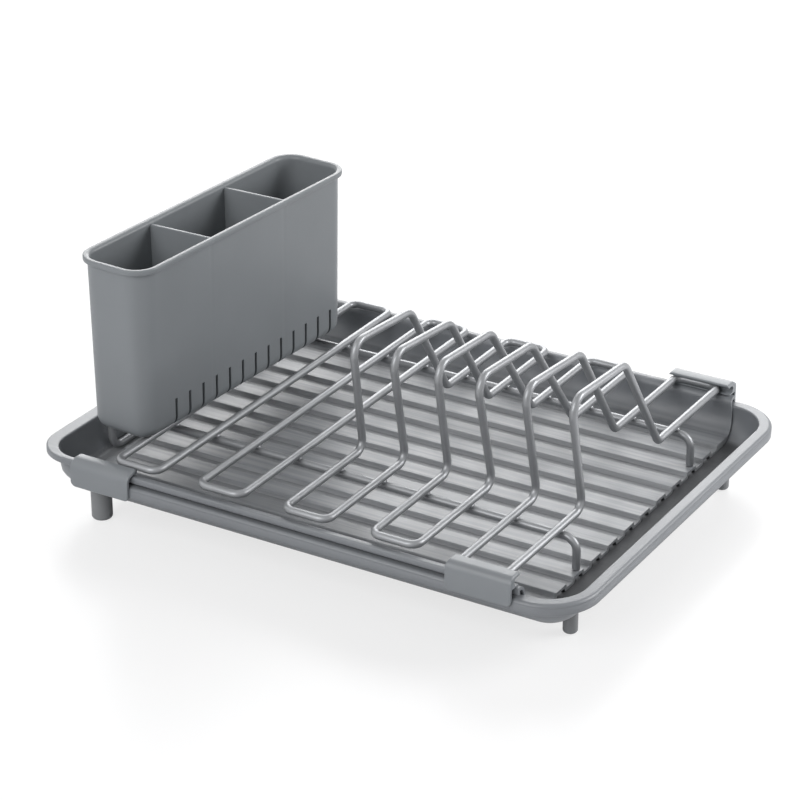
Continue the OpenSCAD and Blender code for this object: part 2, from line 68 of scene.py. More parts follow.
# A height pattern and its depth in metres
Layer = tuple[Socket, float]


class Body(Enum):
    """The rigid bodies that pieces ride on."""

    INNER = "inner"
    OUTER = "outer"
    RACK = "rack"
    CADDY = "caddy"


class Slot(Enum):
    """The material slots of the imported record."""

    TRAY = "tray"
    CLIP = "clip"
    FOOT = "foot"
    CADDY = "caddy"
    WIRE = "wire"


def arc(centre: Point, radius: float, start: float, end: float, steps: int) -> list[Point]:
    """Points of an arc in a plane.

    Args:
        centre: Its centre.
        radius: Its radius.
        start: Angle of its first point, in degrees.
        end: Angle of its last point.
        steps: Number of its straight steps.

    Returns:
        The points, first and last included.
    """
    angles = [math.radians(start + (end - start) * i / steps) for i in range(steps + 1)]
    return [(centre[0] + radius * math.cos(a), centre[1] + radius * math.sin(a)) for a in angles]


def line(start: Point, end: Point, shares: Sequence[float]) -> list[Point]:
    """Gives the points at the given shares of the way between two points of a plane."""
    run, climb = end[0] - start[0], end[1] - start[1]
    return [(start[0] + run * share, start[1] + climb * share) for share in shares]


def metres(point: Iterable[float]) -> tuple[float, ...]:
    """Converts a point from millimetres to metres."""
    return tuple(c * MM for c in point)


def ease(share: np.ndarray) -> np.ndarray:
    """Smooths shares from 0 to 1 at both ends."""
    return share * share * (3 - 2 * share)


def tube(rings: int, count: int) -> list[tuple[int, ...]]:
    """Faces between neighbouring closed rings of points.

    Args:
        rings: Number of rings.
        count: Number of points in each.

    Returns:
        The faces, as point numbers, without the tube's two ends.
    """
    rows = [(r * count, (r + 1) * count) for r in range(rings - 1)]
    return [(low + i, low + (i + 1) % count, high + (i + 1) % count, high + i)
            for low, high in rows for i in range(count)]


def add_object(name: str, data: bpy.types.ID) -> bpy.types.Object:
    """Adds an object to the scene.

    Args:
        name: Its name.
        data: Its mesh, camera or light.

    Returns:
        The object.
    """
    piece = bpy.data.objects.new(name, data)
    bpy.context.collection.objects.link(piece)
    return piece


@contextmanager
def editing(mesh: bpy.types.Mesh) -> Iterator[bmesh.types.BMesh]:
    """Opens a mesh for edits and writes them back at the end.

    Args:
        mesh: The mesh.

    Yields:
        Its editable form.
    """
    build = bmesh.new()
    build.from_mesh(mesh)
    yield build
    build.to_mesh(mesh)
    build.free()


def shade_smooth(mesh: bpy.types.Mesh, sharp: float = SHARP) -> None:
    """Shades a mesh smooth, apart from its edges above an angle in degrees."""
    mesh.polygons.foreach_set("use_smooth", [True] * len(mesh.polygons))
    mesh.set_sharp_from_angle(angle=math.radians(sharp))


def finish_mesh(name: str, vertices: Sequence[Sequence[float]], faces: Sequence[Sequence[int]],
                material: bpy.types.Material, sharp: float = SHARP) -> bpy.types.Object:
    """Makes an object of points in millimetres, welds it and shades it smooth.

    Args:
        name: The object's name.
        vertices: Its points, in millimetres.
        faces: Its faces, as point numbers.
        material: Its material.
        sharp: Angle in degrees above which an edge stays sharp.

    Returns:
        The object, linked into the scene.
    """
    mesh = bpy.data.meshes.new(name)
    mesh.from_pydata([metres(vertex) for vertex in vertices], [], faces)
    mesh.materials.append(material)
    with editing(mesh) as build:
        bmesh.ops.remove_doubles(build, verts=build.verts, dist=WELD)
        bmesh.ops.recalc_face_normals(build, faces=build.faces)
    shade_smooth(mesh, sharp)
    return add_object(name, mesh)


def freeze(piece: bpy.types.Object) -> bpy.types.Object:
    """Turns an object with modifiers into a plain mesh object.

    Args:
        piece: The object with live modifiers, which is removed.

    Returns:
        A new object of the same name with the evaluated mesh.
    """
    name = piece.name
    graph = bpy.context.evaluated_depsgraph_get()
    mesh = bpy.data.meshes.new_from_object(piece.evaluated_get(graph), depsgraph=graph)
    bpy.data.objects.remove(piece)
    mesh.name = name
    shade_smooth(mesh)
    return add_object(name, mesh)


def place(piece: bpy.types.Object, body: Body, slot: Slot, *nodes: str) -> None:
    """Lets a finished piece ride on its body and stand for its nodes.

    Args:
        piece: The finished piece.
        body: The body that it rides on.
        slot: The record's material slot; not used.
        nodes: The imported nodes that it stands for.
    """
    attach(piece, body.value)
    for node in nodes:
        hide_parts(node)
    LOG.info("%s rides on %s, %d faces", piece.name, body.value, len(piece.data.polygons))


def round_edges(piece: bpy.types.Object, name: str, width: float, angle: float) -> None:
    """Adds a bevel that rounds an object's edges above an angle.

    Args:
        piece: The object.
        name: The modifier's name.
        width: Width of the rounding, in millimetres.
        angle: The angle, in degrees.
    """
    bevel = piece.modifiers.new(name, "BEVEL")
    bevel.width = width * MM
    bevel.segments = BEVEL_STEPS
    bevel.limit_method = "ANGLE"
    bevel.angle_limit = math.radians(angle)


def soften(node: str, name: str, material: bpy.types.Material, width: float) -> bpy.types.Object:
    """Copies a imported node, welds the copy and rounds its edges.

    Args:
        node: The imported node.
        name: Name of the new piece.
        material: Its material.
        width: Width of the rounding, in millimetres.

    Returns:
        The finished piece.
    """
    flat_angle, round_angle = 1.0, 35.0
    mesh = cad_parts[node].data.copy()
    with editing(mesh) as build:
        bmesh.ops.remove_doubles(build, verts=build.verts, dist=WELD_NODE)
        bmesh.ops.dissolve_limit(build, angle_limit=math.radians(flat_angle), verts=build.verts,
                                 edges=build.edges)
    mesh.materials.clear()
    mesh.materials.append(material)
    piece = add_object(name, mesh)
    round_edges(piece, "round", width, round_angle)
    return freeze(piece)


def new_material(name: str) -> tuple[bpy.types.Material, Tree, bpy.types.ShaderNode]:
    """Makes a node material with one Principled shader.

    Args:
        name: The material's name.

    Returns:
        The material, its node tree and its Principled shader.
    """
    material = bpy.data.materials.new(name)
    material.use_nodes = True
    tree = material.node_tree
    return material, tree, tree.nodes["Principled BSDF"]


def noise(tree: Tree, stretch: Sequence[float], scale: float, detail: float) -> Socket:
    """Adds a noise pattern on Object coordinates.

    Args:
        tree: The material's node tree.
        stretch: How far the coordinates are multiplied along each axis.
        scale: The noise's scale, per metre.
        detail: The noise's number of octaves.

    Returns:
        The socket with the pattern's value.
    """
    spot = tree.nodes.new("ShaderNodeTexCoord")
    mapping = tree.nodes.new("ShaderNodeMapping")
    mapping.inputs["Scale"].default_value = tuple(stretch)
    pattern = tree.nodes.new("ShaderNodeTexNoise")
    pattern.inputs["Scale"].default_value = scale
    pattern.inputs["Detail"].default_value = detail
    tree.links.new(spot.outputs["Object"], mapping.inputs["Vector"])
    tree.links.new(mapping.outputs["Vector"], pattern.inputs["Vector"])
    return pattern.outputs["Fac"]


def span(tree: Tree, value: Socket, start: Point, end: Point, smooth: bool = False) -> Socket:
    """Maps one range of a value to another and clamps it.

    Args:
        tree: The material's node tree.
        value: The value.
        start: Its range.
        end: The range of the result.
        smooth: Whether the result eases in and out.

    Returns:
        The socket with the mapped value.
    """
    step = tree.nodes.new("ShaderNodeMapRange")
    step.interpolation_type = "SMOOTHSTEP" if smooth else "LINEAR"
    for socket, number in zip(("From Min", "From Max", "To Min", "To Max"), (*start, *end)):
        step.inputs[socket].default_value = number
    tree.links.new(value, step.inputs["Value"])
    return step.outputs["Result"]


def calculate(tree: Tree, operation: str, *values: Socket | float) -> Socket:
    """Adds a math node.

    Args:
        tree: The material's node tree.
        operation: The node's operation.
        values: What it works on, sockets or numbers.

    Returns:
        The socket with the result.
    """
    step = tree.nodes.new("ShaderNodeMath")
    step.operation = operation
    for socket, value in zip(step.inputs, values):
        if isinstance(value, Socket):
            tree.links.new(value, socket)
        else:
            socket.default_value = value
    return step.outputs["Value"]


def tint(tree: Tree, value: Socket, dark: Colour | Socket, light: Colour | Socket) -> Socket:
    """Mixes two colours by a pattern.

    Args:
        tree: The material's node tree.
        value: The mixing pattern, 0 to 1.
        dark: Colour at 0.
        light: Colour at 1.

    Returns:
        The socket with the mixed colour.
    """
    mix = tree.nodes.new("ShaderNodeMix")
    mix.data_type = "RGBA"
    for slot, colour in (("A", dark), ("B", light)):
        socket = next(s for s in mix.inputs if s.name == slot and s.type == "RGBA")
        if isinstance(colour, tuple):
            socket.default_value = (*colour, 1)
        else:
            tree.links.new(colour, socket)
    tree.links.new(value, mix.inputs["Factor"])
    return next(s for s in mix.outputs if s.type == "RGBA")


def component(tree: Tree, vector: Socket, axis: str) -> Socket:
    """Takes one component of a vector.

    Args:
        tree: The material's node tree.
        vector: The vector.
        axis: Name of the component.

    Returns:
        The socket with the component.
    """
    parts = tree.nodes.new("ShaderNodeSeparateXYZ")
    tree.links.new(vector, parts.inputs["Vector"])
    return parts.outputs[axis]


def bump(tree: Tree, shader: bpy.types.ShaderNode, layers: Iterable[Layer]) -> None:
    """Chains bump layers into a shader's normal.

    Args:
        tree: The material's node tree.
        shader: The shader that gets the normal.
        layers: The layers, from the lowest to the topmost.
    """
    normal = None
    for height, depth in layers:
        step = tree.nodes.new("ShaderNodeBump")
        step.inputs["Strength"].default_value = 1.0
        step.inputs["Distance"].default_value = depth
        tree.links.new(height, step.inputs["Height"])
        if normal:
            tree.links.new(normal, step.inputs["Normal"])
        normal = step.outputs["Normal"]
    tree.links.new(normal, shader.inputs["Normal"])


@dataclass(frozen=True)
class Finish:
    """A finish with a cloudy tint and a fine grain; its subclasses add their own patterns.

    Depths of the grain and of other bump layers are in metres, and scales are per metre.
    """

    name: str
    dark: Colour
    light: Colour
    roughness: Point = (0.32, 0.44)
    metallic: float = 0.0
    ior: float = 1.5
    cloud_scale: float = 14.0
    cloud_detail: float = 3.0
    grain: float = 0.00001
    grain_scale: float = 2600.0
    grain_detail: float = 2.0

    def cloud(self, tree: Tree) -> Socket:
        """Gives the cloud pattern."""
        return noise(tree, EVEN, self.cloud_scale, self.cloud_detail)

    def colour(self, tree: Tree) -> Socket:
        """Gives the cloudy colour."""
        return tint(tree, span(tree, self.cloud(tree), MIDDLE, UNIT), self.dark, self.light)

    def gloss(self, tree: Tree) -> Socket:
        """Gives the roughness."""
        return span(tree, self.cloud(tree), MIDDLE, self.roughness)

    def layers(self, tree: Tree) -> list[Layer]:
        """Gives the bump layers under the grain."""
        return []

    def build(self) -> bpy.types.Material:
        """Builds the material.

        Returns:
            The material.
        """
        material, tree, shader = new_material(self.name)
        tree.links.new(self.colour(tree), shader.inputs["Base Color"])
        tree.links.new(self.gloss(tree), shader.inputs["Roughness"])
        shader.inputs["Metallic"].default_value = self.metallic
        shader.inputs["IOR"].default_value = self.ior
        grain = noise(tree, EVEN, self.grain_scale, self.grain_detail)
        bump(tree, shader, [*self.layers(tree), (grain, self.grain)])
        return material


@dataclass(frozen=True)
class MouldedPlastic(Finish):
    """Satin moulded plastic with faint flow streaks."""

    streaks: float = 0.00002
    flow: Place = (0.03, 1.0, 1.0)
    streak_scale: float = 900.0
    streak_detail: float = 2.0

    def streak(self, tree: Tree) -> Socket:
        """Gives the streak pattern."""
        return noise(tree, self.flow, self.streak_scale, self.streak_detail)

    def gloss(self, tree: Tree) -> Socket:
        """Gives the roughness, which follows the streaks."""
        return span(tree, self.streak(tree), MIDDLE, self.roughness)

    def layers(self, tree: Tree) -> list[Layer]:
        """Gives the streaks."""
        return [(self.streak(tree), self.streaks)]


@dataclass(frozen=True)
class ShellPlastic(MouldedPlastic):
    """The caddy's plastic, with faint upright sink marks outside its dividers.

    Places and the marks' width are in millimetres, and their depth is in metres.
    """

    streaks: float = 0.000005
    ior: float = 1.4
    centre: Point = (0.0, 0.0)
    turn: float = 0.0
    divider_y: float = 0.0
    mark_w: float = 3.0
    mark: float = 0.00007

    def layers(self, tree: Tree) -> list[Layer]:
        """Finds the sink marks in the caddy's own turned coordinates.

        Args:
            tree: The material's node tree.

        Returns:
            The marks and the streaks.
        """
        spot = tree.nodes.new("ShaderNodeTexCoord")
        own = tree.nodes.new("ShaderNodeMapping")
        own.vector_type = "TEXTURE"
        own.inputs["Location"].default_value = metres((*self.centre, 0))
        own.inputs["Rotation"].default_value = (0, 0, math.radians(self.turn))
        tree.links.new(spot.outputs["Object"], own.inputs["Vector"])
        across = calculate(tree, "ABSOLUTE", component(tree, own.outputs["Vector"], "Y"))
        away = calculate(tree, "ABSOLUTE", calculate(tree, "SUBTRACT", across, self.divider_y * MM))
        mark = span(tree, away, (0, self.mark_w * MM), UNIT, smooth=True)
        return [(mark, self.mark), *super().layers(tree)]


@dataclass(frozen=True)
class RibbedPlastic(MouldedPlastic):
    """The trays' plastic: finely scratched rib tops painted pale as a streaky sheen, over grooves
    painted darker as shade.

    Heights and fades are in millimetres. The ribs' colour, a painted sheen, comes in between fade_low
    above the floor and fade_top below the ribs' tops, and gives way to the walls' over fade_wall.
    """

    streak_scale: float = 1500.0
    streak_detail: float = 3.0
    floor: float = 0.0
    rib_h: float = 0.0
    # Colour of the rib tops, lighter than the walls: painted sheen
    rib_sheen: Colour = (0.295, 0.305, 0.319)
    # Colour of the grooves: painted shade, darker than the rib tops; the default is still lighter than
    # the walls, as painted light on the floor
    groove: Colour = (0.255, 0.263, 0.275)
    scratch: float = 0.00003
    dull: float = 0.12
    # Streaks along X that break up the rib tops' painted sheen, down to least_sheen of it
    sheen_flow: Place = (0.02, 1.0, 1.0)
    sheen_scale: float = 300.0
    sheen_detail: float = 2.0
    least_sheen: float = 0.1
    fade_low: float = 0.4
    fade_top: float = 0.3
    fade_wall: Point = (0.4, 2.5)

    def height(self, tree: Tree, start: float, end: float) -> Socket:
        """Gives a share that eases from 0 to 1 between two heights in millimetres."""
        z = component(tree, tree.nodes.new("ShaderNodeTexCoord").outputs["Object"], "Z")
        return span(tree, z, metres((start, end)), UNIT, smooth=True)

    def on_rib(self, tree: Tree) -> Socket:
        """Gives the share that is 0 in the grooves and 1 on the ribs."""
        return self.height(tree, self.floor + self.fade_low, self.floor + self.rib_h - self.fade_top)

    def colour(self, tree: Tree) -> Socket:
        """Mixes the grooves' painted shade, the ribs' painted streaky sheen and the walls' colour.

        Args:
            tree: The material's node tree.

        Returns:
            The socket with the colour.
        """
        # Painted sheen on the rib tops, in streaks along X
        sheen_streaks = noise(tree, self.sheen_flow, self.sheen_scale, self.sheen_detail)
        streaky_sheen = tint(tree, span(tree, sheen_streaks, MIDDLE, (self.least_sheen, 1)), self.dark, self.rib_sheen)
        # Painted shade in the grooves, by height
        ribbed = tint(tree, self.on_rib(tree), self.groove, streaky_sheen)
        over = self.height(tree, *(self.floor + self.rib_h + fade for fade in self.fade_wall))
        return tint(tree, over, ribbed, super().colour(tree))

    def gloss(self, tree: Tree) -> Socket:
        """Gives the roughness, which is higher in the grooves."""
        more = span(tree, self.on_rib(tree), UNIT, (self.dull, 0))
        return calculate(tree, "ADD", super().gloss(tree), more)

    def layers(self, tree: Tree) -> list[Layer]:
        """Gives the scratches on the ribs."""
        return [(calculate(tree, "MULTIPLY", self.streak(tree), self.on_rib(tree)), self.scratch)]


@dataclass(frozen=True)
class CoatedWire(Finish):
    """Silver grey powder coat on steel wire, with a fine orange peel."""

    roughness: Point = (0.37, 0.4)
    metallic: float = 0.45
    cloud_scale: float = 40.0
    cloud_detail: float = 1.0
    grain: float = 0.000002
    grain_scale: float = 1800.0
    grain_detail: float = 1.0


@dataclass
class Tray:
    """A drip tray of moulded sheet: a rim on three sides, a bent wall and a ribbed floor.

    Sizes are in millimetres. The tray lies along X and is closed at end_x. The top skin and
    the underside are one lattice of points: lines of the wall, from the band's lower edge over
    the rim and down, that run from the open edge round the end and back, and then the floor.
    Groove depths are measured down from the rim's top. At its open edge the wall leans by
    open_lean over lean_reach, from lean_low above the floor.
    """

    name: str
    body: Body
    end_x: float
    open_x: float
    half: float
    wall_y: float
    rim_top: float
    band_h: float
    floor: float
    bend_r: float
    edge_r: float
    roll_r: float
    rim_corner: float
    well_corner: float
    rib_w: float
    rib_start: float
    end_rim: float = 0.0
    end_roll: float = 1.5
    end_lean: float = 0.0
    crease: float = 0.0
    ledge_y: float = 0.0
    groove: float = 0.0
    sheet: float = 1.8
    band_t: float = 1.6
    rib_h: float = 2.5
    rib_lean: float = 1.0
    rib_pitch: float = 21.0
    rib_count: int = 10
    bend_h: float = 35.8
    bend_y: float = 116.7
    corner_zone: float = 42.0
    corner_keep: float = 1.0
    open_lean: float = 0.0
    lean_reach: float = 20.0
    lean_low: float = 4.0
    lip_r: float = 0.35
    least_r: float = 0.5
    groove_depths: tuple[float, ...] = (2.35, 2.15, 1.75, 1.55)
    rib_inset: float = 0.25
    rib_spread: float = 0.35

    @property
    def sign(self) -> int:
        """Gives 1 where the closed end is at the right, and -1 at the left."""
        return 1 if self.end_x > 0 else -1

    @property
    def first(self) -> float:
        """Gives the distance of the floor's closed edge from the middle."""
        leaning = self.end_rim + self.end_lean + self.crease
        return abs(self.end_x) - (leaning if self.end_rim else self.half - self.bend_y)

    def thickness(self, under: bool) -> Place:
        """Gives one skin's insets by the sheet and by the band, and the rim edge's radius."""
        return (self.sheet, self.band_t, self.lip_r) if under else (0.0, 0.0, self.edge_r)

    def side_section(self, under: bool) -> list[Point]:
        """Section of the side, from the band's lower edge over the rim to the floor.

        Args:
            under: Whether to give the underside instead of the top skin.

        Returns:
            Points (distance from the middle, height).
        """
        skin, band_t, edge = self.thickness(under)
        top, wall, band = self.rim_top - skin, self.wall_y + skin, self.half - band_t
        roll = max(self.roll_r - skin, self.least_r)
        low = self.rim_top - self.band_h
        lip, band_share = self.lip_r, 0.9
        rise = (top - low - edge) * band_share
        if under:
            pts = [(band, low), (band, low + lip)]
            pts += [(band, low + lip + (rise - lip) * s) for s in (0.3, 0.6, 0.8, 1.0)]
        else:
            pts = [(band - lip, low), (band, low + lip)]
            insets = (0.0, self.groove, self.groove, 0.0)
            pts += [(band - inset, top - depth) for inset, depth in zip(insets, self.groove_depths)]
        pts += arc((band - edge, top - edge), edge, 0, 90, steps=6)
        flat = band - edge - wall - roll
        pts += [(wall + roll + flat * s, top) for s in (0.85, 0.5, 0.12)]
        pts += arc((wall + roll, top - roll), roll, 90, 180, steps=10)
        pts += line((wall, top - roll), (wall, self.bend_h), shares=(0.35, 0.85, 1.0))
        pts += arc((self.bend_y, self.bend_h), self.bend_r + skin, 0, -90, steps=14)[1:]
        return pts

    def end_depth(self, y: float, z: float, under: bool) -> float:
        """Distance from the end at which the end's section has a point like one of the side's.

        Args:
            y: The side point's distance from the middle.
            z: Its height.
            under: Whether it lies on the underside.

        Returns:
            The distance, in millimetres.
        """
        if not self.end_rim:
            return self.half - y
        skin, band, edge = self.thickness(under)
        roll = max(self.end_roll - skin, self.least_r)
        wall, hair = self.end_rim - skin, 0.01
        outer = self.half - band - edge
        if y >= outer:
            return self.half - y
        side_roll = self.wall_y + skin + max(self.roll_r - skin, self.least_r)
        if y > side_roll - hair:
            return band + edge + (outer - y) / (outer - side_roll) * (wall - roll - band - edge)
        depth = self.rim_top - skin - z
        if depth < roll:
            return wall - roll + math.sqrt(roll * roll - (roll - depth) ** 2)
        over = z - self.floor + skin
        tall = self.rim_top - self.floor - roll
        place = wall + self.end_lean * (depth - roll) / tall
        fillet = self.crease + skin
        if over < fillet:
            place += fillet - math.sqrt(fillet * fillet - (fillet - over) ** 2)
        return min(place, self.end_rim + self.end_lean + self.crease)

    def lattice(self) -> tuple[list[float], list[float]]:
        """Lines of the floor, which the wall's lines share.

        Returns:
            Their places along X, from the closed end to the open edge, and along Y.
        """
        near_edge, rib_end, rib_step = 1.2, 9.0, 0.65
        corner_gap, corner_step, far_gap, far_count, side_step = 1.5, 2.6, 6.0, 14, 2.0
        least_gap, edge_gap = 0.12, 0.5
        offsets = (-0.6, -0.25, 0, 0.22, 0.44, 0.66, 0.88, 1.1, 1.35, 1.8)
        under_offsets = (-0.2, 0.3, 0.8, 1.3)
        xs = [self.first, self.first - near_edge]
        xs += list(np.arange(self.first - 2 * near_edge, self.rib_start - rib_end, -rib_step))
        xs += list(np.arange(xs[-1] - corner_gap, self.first - self.corner_zone, -corner_step))
        xs += list(np.linspace(xs[-1] - far_gap, self.sign * self.open_x, far_count))
        hollow = self.rib_w - 2 * self.sheet
        marks = [0.0, self.bend_y - near_edge]
        for k in range(self.rib_count):
            centre = (k - (self.rib_count - 1) / 2) * self.rib_pitch
            marks += [centre + s * (self.rib_w / 2 + o) for s in (-1, 1) for o in offsets]
            marks += [centre + s * (hollow / 2 + o) for s in (-1, 1) for o in under_offsets]
        if self.ledge_y:
            marks += [self.ledge_y - o for o in offsets]
        marks += list(np.arange(self.bend_y - self.corner_zone, self.bend_y - side_step, side_step))
        kept = [0.0]
        for mark in sorted({round(abs(m), 3) for m in marks})[1:]:
            if mark - kept[-1] > least_gap and self.bend_y - mark > edge_gap:
                kept.append(mark)
        kept.append(self.bend_y)
        return [self.sign * x for x in xs], [-y for y in reversed(kept[1:])] + kept

    def rise(self, x: np.ndarray, y: np.ndarray, under: bool) -> np.ndarray:
        """Height of the ribs and of the ledge beside the wall over the floor.

        Args:
            x: Places along X.
            y: Places along Y.
            under: Whether to give the hollow underside of the ribs.

        Returns:
            The heights, in millimetres.
        """
        along = self.rib_start - self.sign * x
        width = self.rib_w - (2 * self.sheet if under else 0)
        middle = (self.rib_count - 1) / 2
        number = np.clip(np.round(y / self.rib_pitch + middle), 0, self.rib_count - 1)
        across = y - (number - middle) * self.rib_pitch
        away = np.hypot(across, np.minimum(along - self.rib_w / 2, 0)) - width / 2
        if self.ledge_y and not under:
            away = np.minimum(away, np.maximum(self.ledge_y - np.abs(y), -along))
        share = np.clip((away + self.rib_inset) / (self.rib_lean + self.rib_spread), 0, 1)
        return self.rib_h * (1 - ease(share))

    def wall_line(self, y: float, z: float, under: bool, xs: list[float],
                  ys: list[float]) -> list[Place]:
        """One line of the wall, from the open edge round the closed end and back.

        Args:
            y: Its distance from the middle along the sides.
            z: Its height.
            under: Whether it lies on the underside.
            xs: The floor's lines along X.
            ys: The floor's lines along Y.

        Returns:
            Its points.
        """
        skin = self.sheet if under else 0.0
        reach = abs(self.end_x) - self.end_depth(y, z, under)
        outward = (y - self.wall_y) / (self.half - self.wall_y)
        inward = (self.wall_y + skin - y) / (self.wall_y + skin - self.bend_y)
        deep = max(inward, 0.0)
        radius = self.well_corner * (1 - deep ** self.corner_keep)
        if outward > 0:
            radius = self.well_corner + (self.rim_corner - self.well_corner) * outward

        def away(u: float, grow: float) -> float:
            """Distance from the sharp corner of this line for a distance u on the floor."""
            zone = self.corner_zone
            return u + grow if u >= zone else u * (1 + grow / zone)

        def on_corner(share: float, way: int) -> Place:
            """Point of the round corner.

            Args:
                share: -1 where it meets the end, 1 where it meets the side.
                way: 1 at the back, -1 at the front.

            Returns:
                The point.
            """
            turn = math.radians(HALF_CORNER * (1 + share))
            return (self.sign * (reach - radius + radius * math.cos(turn)),
                    way * (y - radius + radius * math.sin(turn)), z)

        def on_side(x: float, way: int) -> Place:
            """Point of a side."""
            u = away(self.first - self.sign * x, reach - self.first)
            return (self.sign * (reach - u), way * y, z) if u >= radius else on_corner(u / radius, way)

        def on_end(across: float) -> Place:
            """Point of the closed end."""
            u, way = away(self.bend_y - abs(across), y - self.bend_y), -1 if across < 0 else 1
            return (self.sign * reach, way * (y - u), z) if u >= radius else on_corner(-u / radius, way)

        return ([on_side(x, -1) for x in reversed(xs)] + [on_end(a) for a in ys[1:-1]]
                + [on_side(x, 1) for x in xs])

    def skin(self, under: bool, xs: list[float], ys: list[float]) -> np.ndarray:
        """Points of a skin: the wall's lines one after another, then the floor.

        Args:
            under: Whether to give the underside.
            xs: The floor's lines along X.
            ys: The floor's lines along Y.

        Returns:
            The points, in millimetres.
        """
        beside_floor = 0.5
        wall = [point for y, z in self.side_section(under)[:-1]
                for point in self.wall_line(y, z, under, xs, ys)]
        base = self.floor - (self.sheet if under else 0)
        gx, gy = np.meshgrid(np.array(xs), np.array(ys), indexing="ij")
        floor = np.stack([gx.ravel(), gy.ravel(), (base + self.rise(gx, gy, under)).ravel()], axis=1)
        points = np.array(wall)
        if self.ledge_y and not under:
            x, y = points[:, 0], points[:, 1]
            level = base + self.rise(x, np.sign(y) * self.bend_y, False)
            beside = (np.abs(y) > self.bend_y - beside_floor) & (points[:, 2] < base + self.rib_h)
            points[:, 2] = np.where(beside, np.maximum(points[:, 2], level), points[:, 2])
        near = np.clip(1 - (self.open_x - points[:, 0]) * -self.sign / self.lean_reach, 0, 1)
        low = self.lean_low
        high = np.clip((points[:, 2] - self.floor - low) / (self.rim_top - self.floor - low), 0, 1)
        points[:, 0] += self.sign * self.open_lean * near * high
        return np.concatenate([points, floor])

    def build(self, material: bpy.types.Material, node: str) -> None:
        """Builds the tray as one closed piece.

        Args:
            material: Its plastic.
            node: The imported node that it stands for.
        """
        xs, ys = self.lattice()
        top, low = self.skin(False, xs, ys), self.skin(True, xs, ys)
        lines = len(self.side_section(False)) - 1
        nx, ny, size = len(xs), len(ys), len(top)
        count = 2 * nx + ny - 2
        grid = [[lines * count + a * ny + b for b in range(ny)] for a in range(nx)]
        border = [row[0] for row in reversed(grid)] + grid[0][1:-1] + [row[-1] for row in grid]
        rows = [list(range(r * count, (r + 1) * count)) for r in range(lines)] + [border]
        faces = [(row[i], row[i + 1], below[i + 1], below[i])
                 for row, below in zip(rows, rows[1:]) for i in range(count - 1)]
        faces += [(row[b], beyond[b], beyond[b + 1], row[b + 1])
                  for row, beyond in zip(grid, grid[1:]) for b in range(ny - 1)]
        faces += [tuple(size + i for i in reversed(face)) for face in faces]
        edge = [row[0] for row in rows[:0:-1]] + rows[0]
        edge += [row[-1] for row in rows[1:]] + grid[-1][-2:0:-1]
        faces += [(a, b, size + b, size + a) for a, b in zip(edge, edge[1:] + edge[:1])]
        piece = finish_mesh(self.name, np.concatenate([top, low]), faces, material, SHARP_TRAY)
        place(piece, self.body, Slot.TRAY, node)


class Group:
    """A Geometry Nodes tree under construction."""

    def __init__(self, name: str, inputs: dict[str, str]) -> None:
        """Starts a tree.

        Args:
            name: The tree's name.
            inputs: Names and socket types of its inputs, after the geometry.
        """
        self.tree = bpy.data.node_groups.new(name, "GeometryNodeTree")
        add = self.tree.interface.new_socket
        add("Geometry", in_out="INPUT", socket_type="NodeSocketGeometry")
        add("Geometry", in_out="OUTPUT", socket_type="NodeSocketGeometry")
        for title, kind in inputs.items():
            add(title, in_out="INPUT", socket_type=kind)
        self.start = self.tree.nodes.new("NodeGroupInput")
        self.end = self.tree.nodes.new("NodeGroupOutput")

    def node(self, kind: str, links: dict[str | int, Socket] | None = None,
             **options: object) -> bpy.types.Node:
        """Adds a node.

        Args:
            kind: Its type.
            links: Sockets that lead into its inputs, by the input's name or number.
            options: Its properties, or constant inputs where no such property exists.

        Returns:
            The node.
        """
        node = self.tree.nodes.new(kind)
        for key, value in options.items():
            if hasattr(node, key):
                setattr(node, key, value)
            else:
                node.inputs[key.replace("_", " ")].default_value = value
        for key, socket in (links or {}).items():
            self.tree.links.new(socket, node.inputs[key])
        return node

    def finish(self, result: Socket, material: Socket) -> None:
        """Ends the tree in Realize Instances and Set Material.

        Args:
            result: The geometry.
            material: The input that gives its material.
        """
        real = self.node("GeometryNodeRealizeInstances", {"Geometry": result})
        done = self.node("GeometryNodeSetMaterial", {"Geometry": real.outputs[0], "Material": material})
        self.tree.links.new(done.outputs[0], self.end.inputs[0])

    def apply(self, host: bpy.types.Object, values: dict[str, object]) -> None:
        """Puts the tree on an object.

        Args:
            host: The object.
            values: The values of the tree's inputs, by name.
        """
        modifier = host.modifiers.new(self.tree.name, "NODES")
        modifier.node_group = self.tree
        for item in self.tree.interface.items_tree:
            if item.in_out == "INPUT" and item.name in values:
                modifier[item.identifier] = values[item.name]


def wire_group() -> Group:
    """Builds the tree that bends polylines and sweeps a round wire along them.

    Returns:
        The tree. A polyline's points carry their bend radius in the attribute bend.
    """
    group = Group("coated_wire", {"Wire radius": "NodeSocketFloat", "Sides": "NodeSocketInt",
                                  "Bend steps": "NodeSocketInt", "Coat": "NodeSocketMaterial"})
    start = group.start.outputs
    bend = group.node("GeometryNodeInputNamedAttribute", data_type="FLOAT", Name="bend")
    curve = group.node("GeometryNodeMeshToCurve", {"Mesh": start["Geometry"]})
    fillet = group.node("GeometryNodeFilletCurve", {
        "Curve": curve.outputs[0], "Count": start["Bend steps"], "Radius": bend.outputs["Attribute"]},
        mode="POLY", Limit_Radius=True)
    ring = group.node("GeometryNodeCurvePrimitiveCircle", {
        "Resolution": start["Sides"], "Radius": start["Wire radius"]}, mode="RADIUS")
    sweep = group.node("GeometryNodeCurveToMesh", {
        "Curve": fillet.outputs[0], "Profile Curve": ring.outputs[0]}, Fill_Caps=True)
    group.finish(sweep.outputs[0], start["Coat"])
    return group


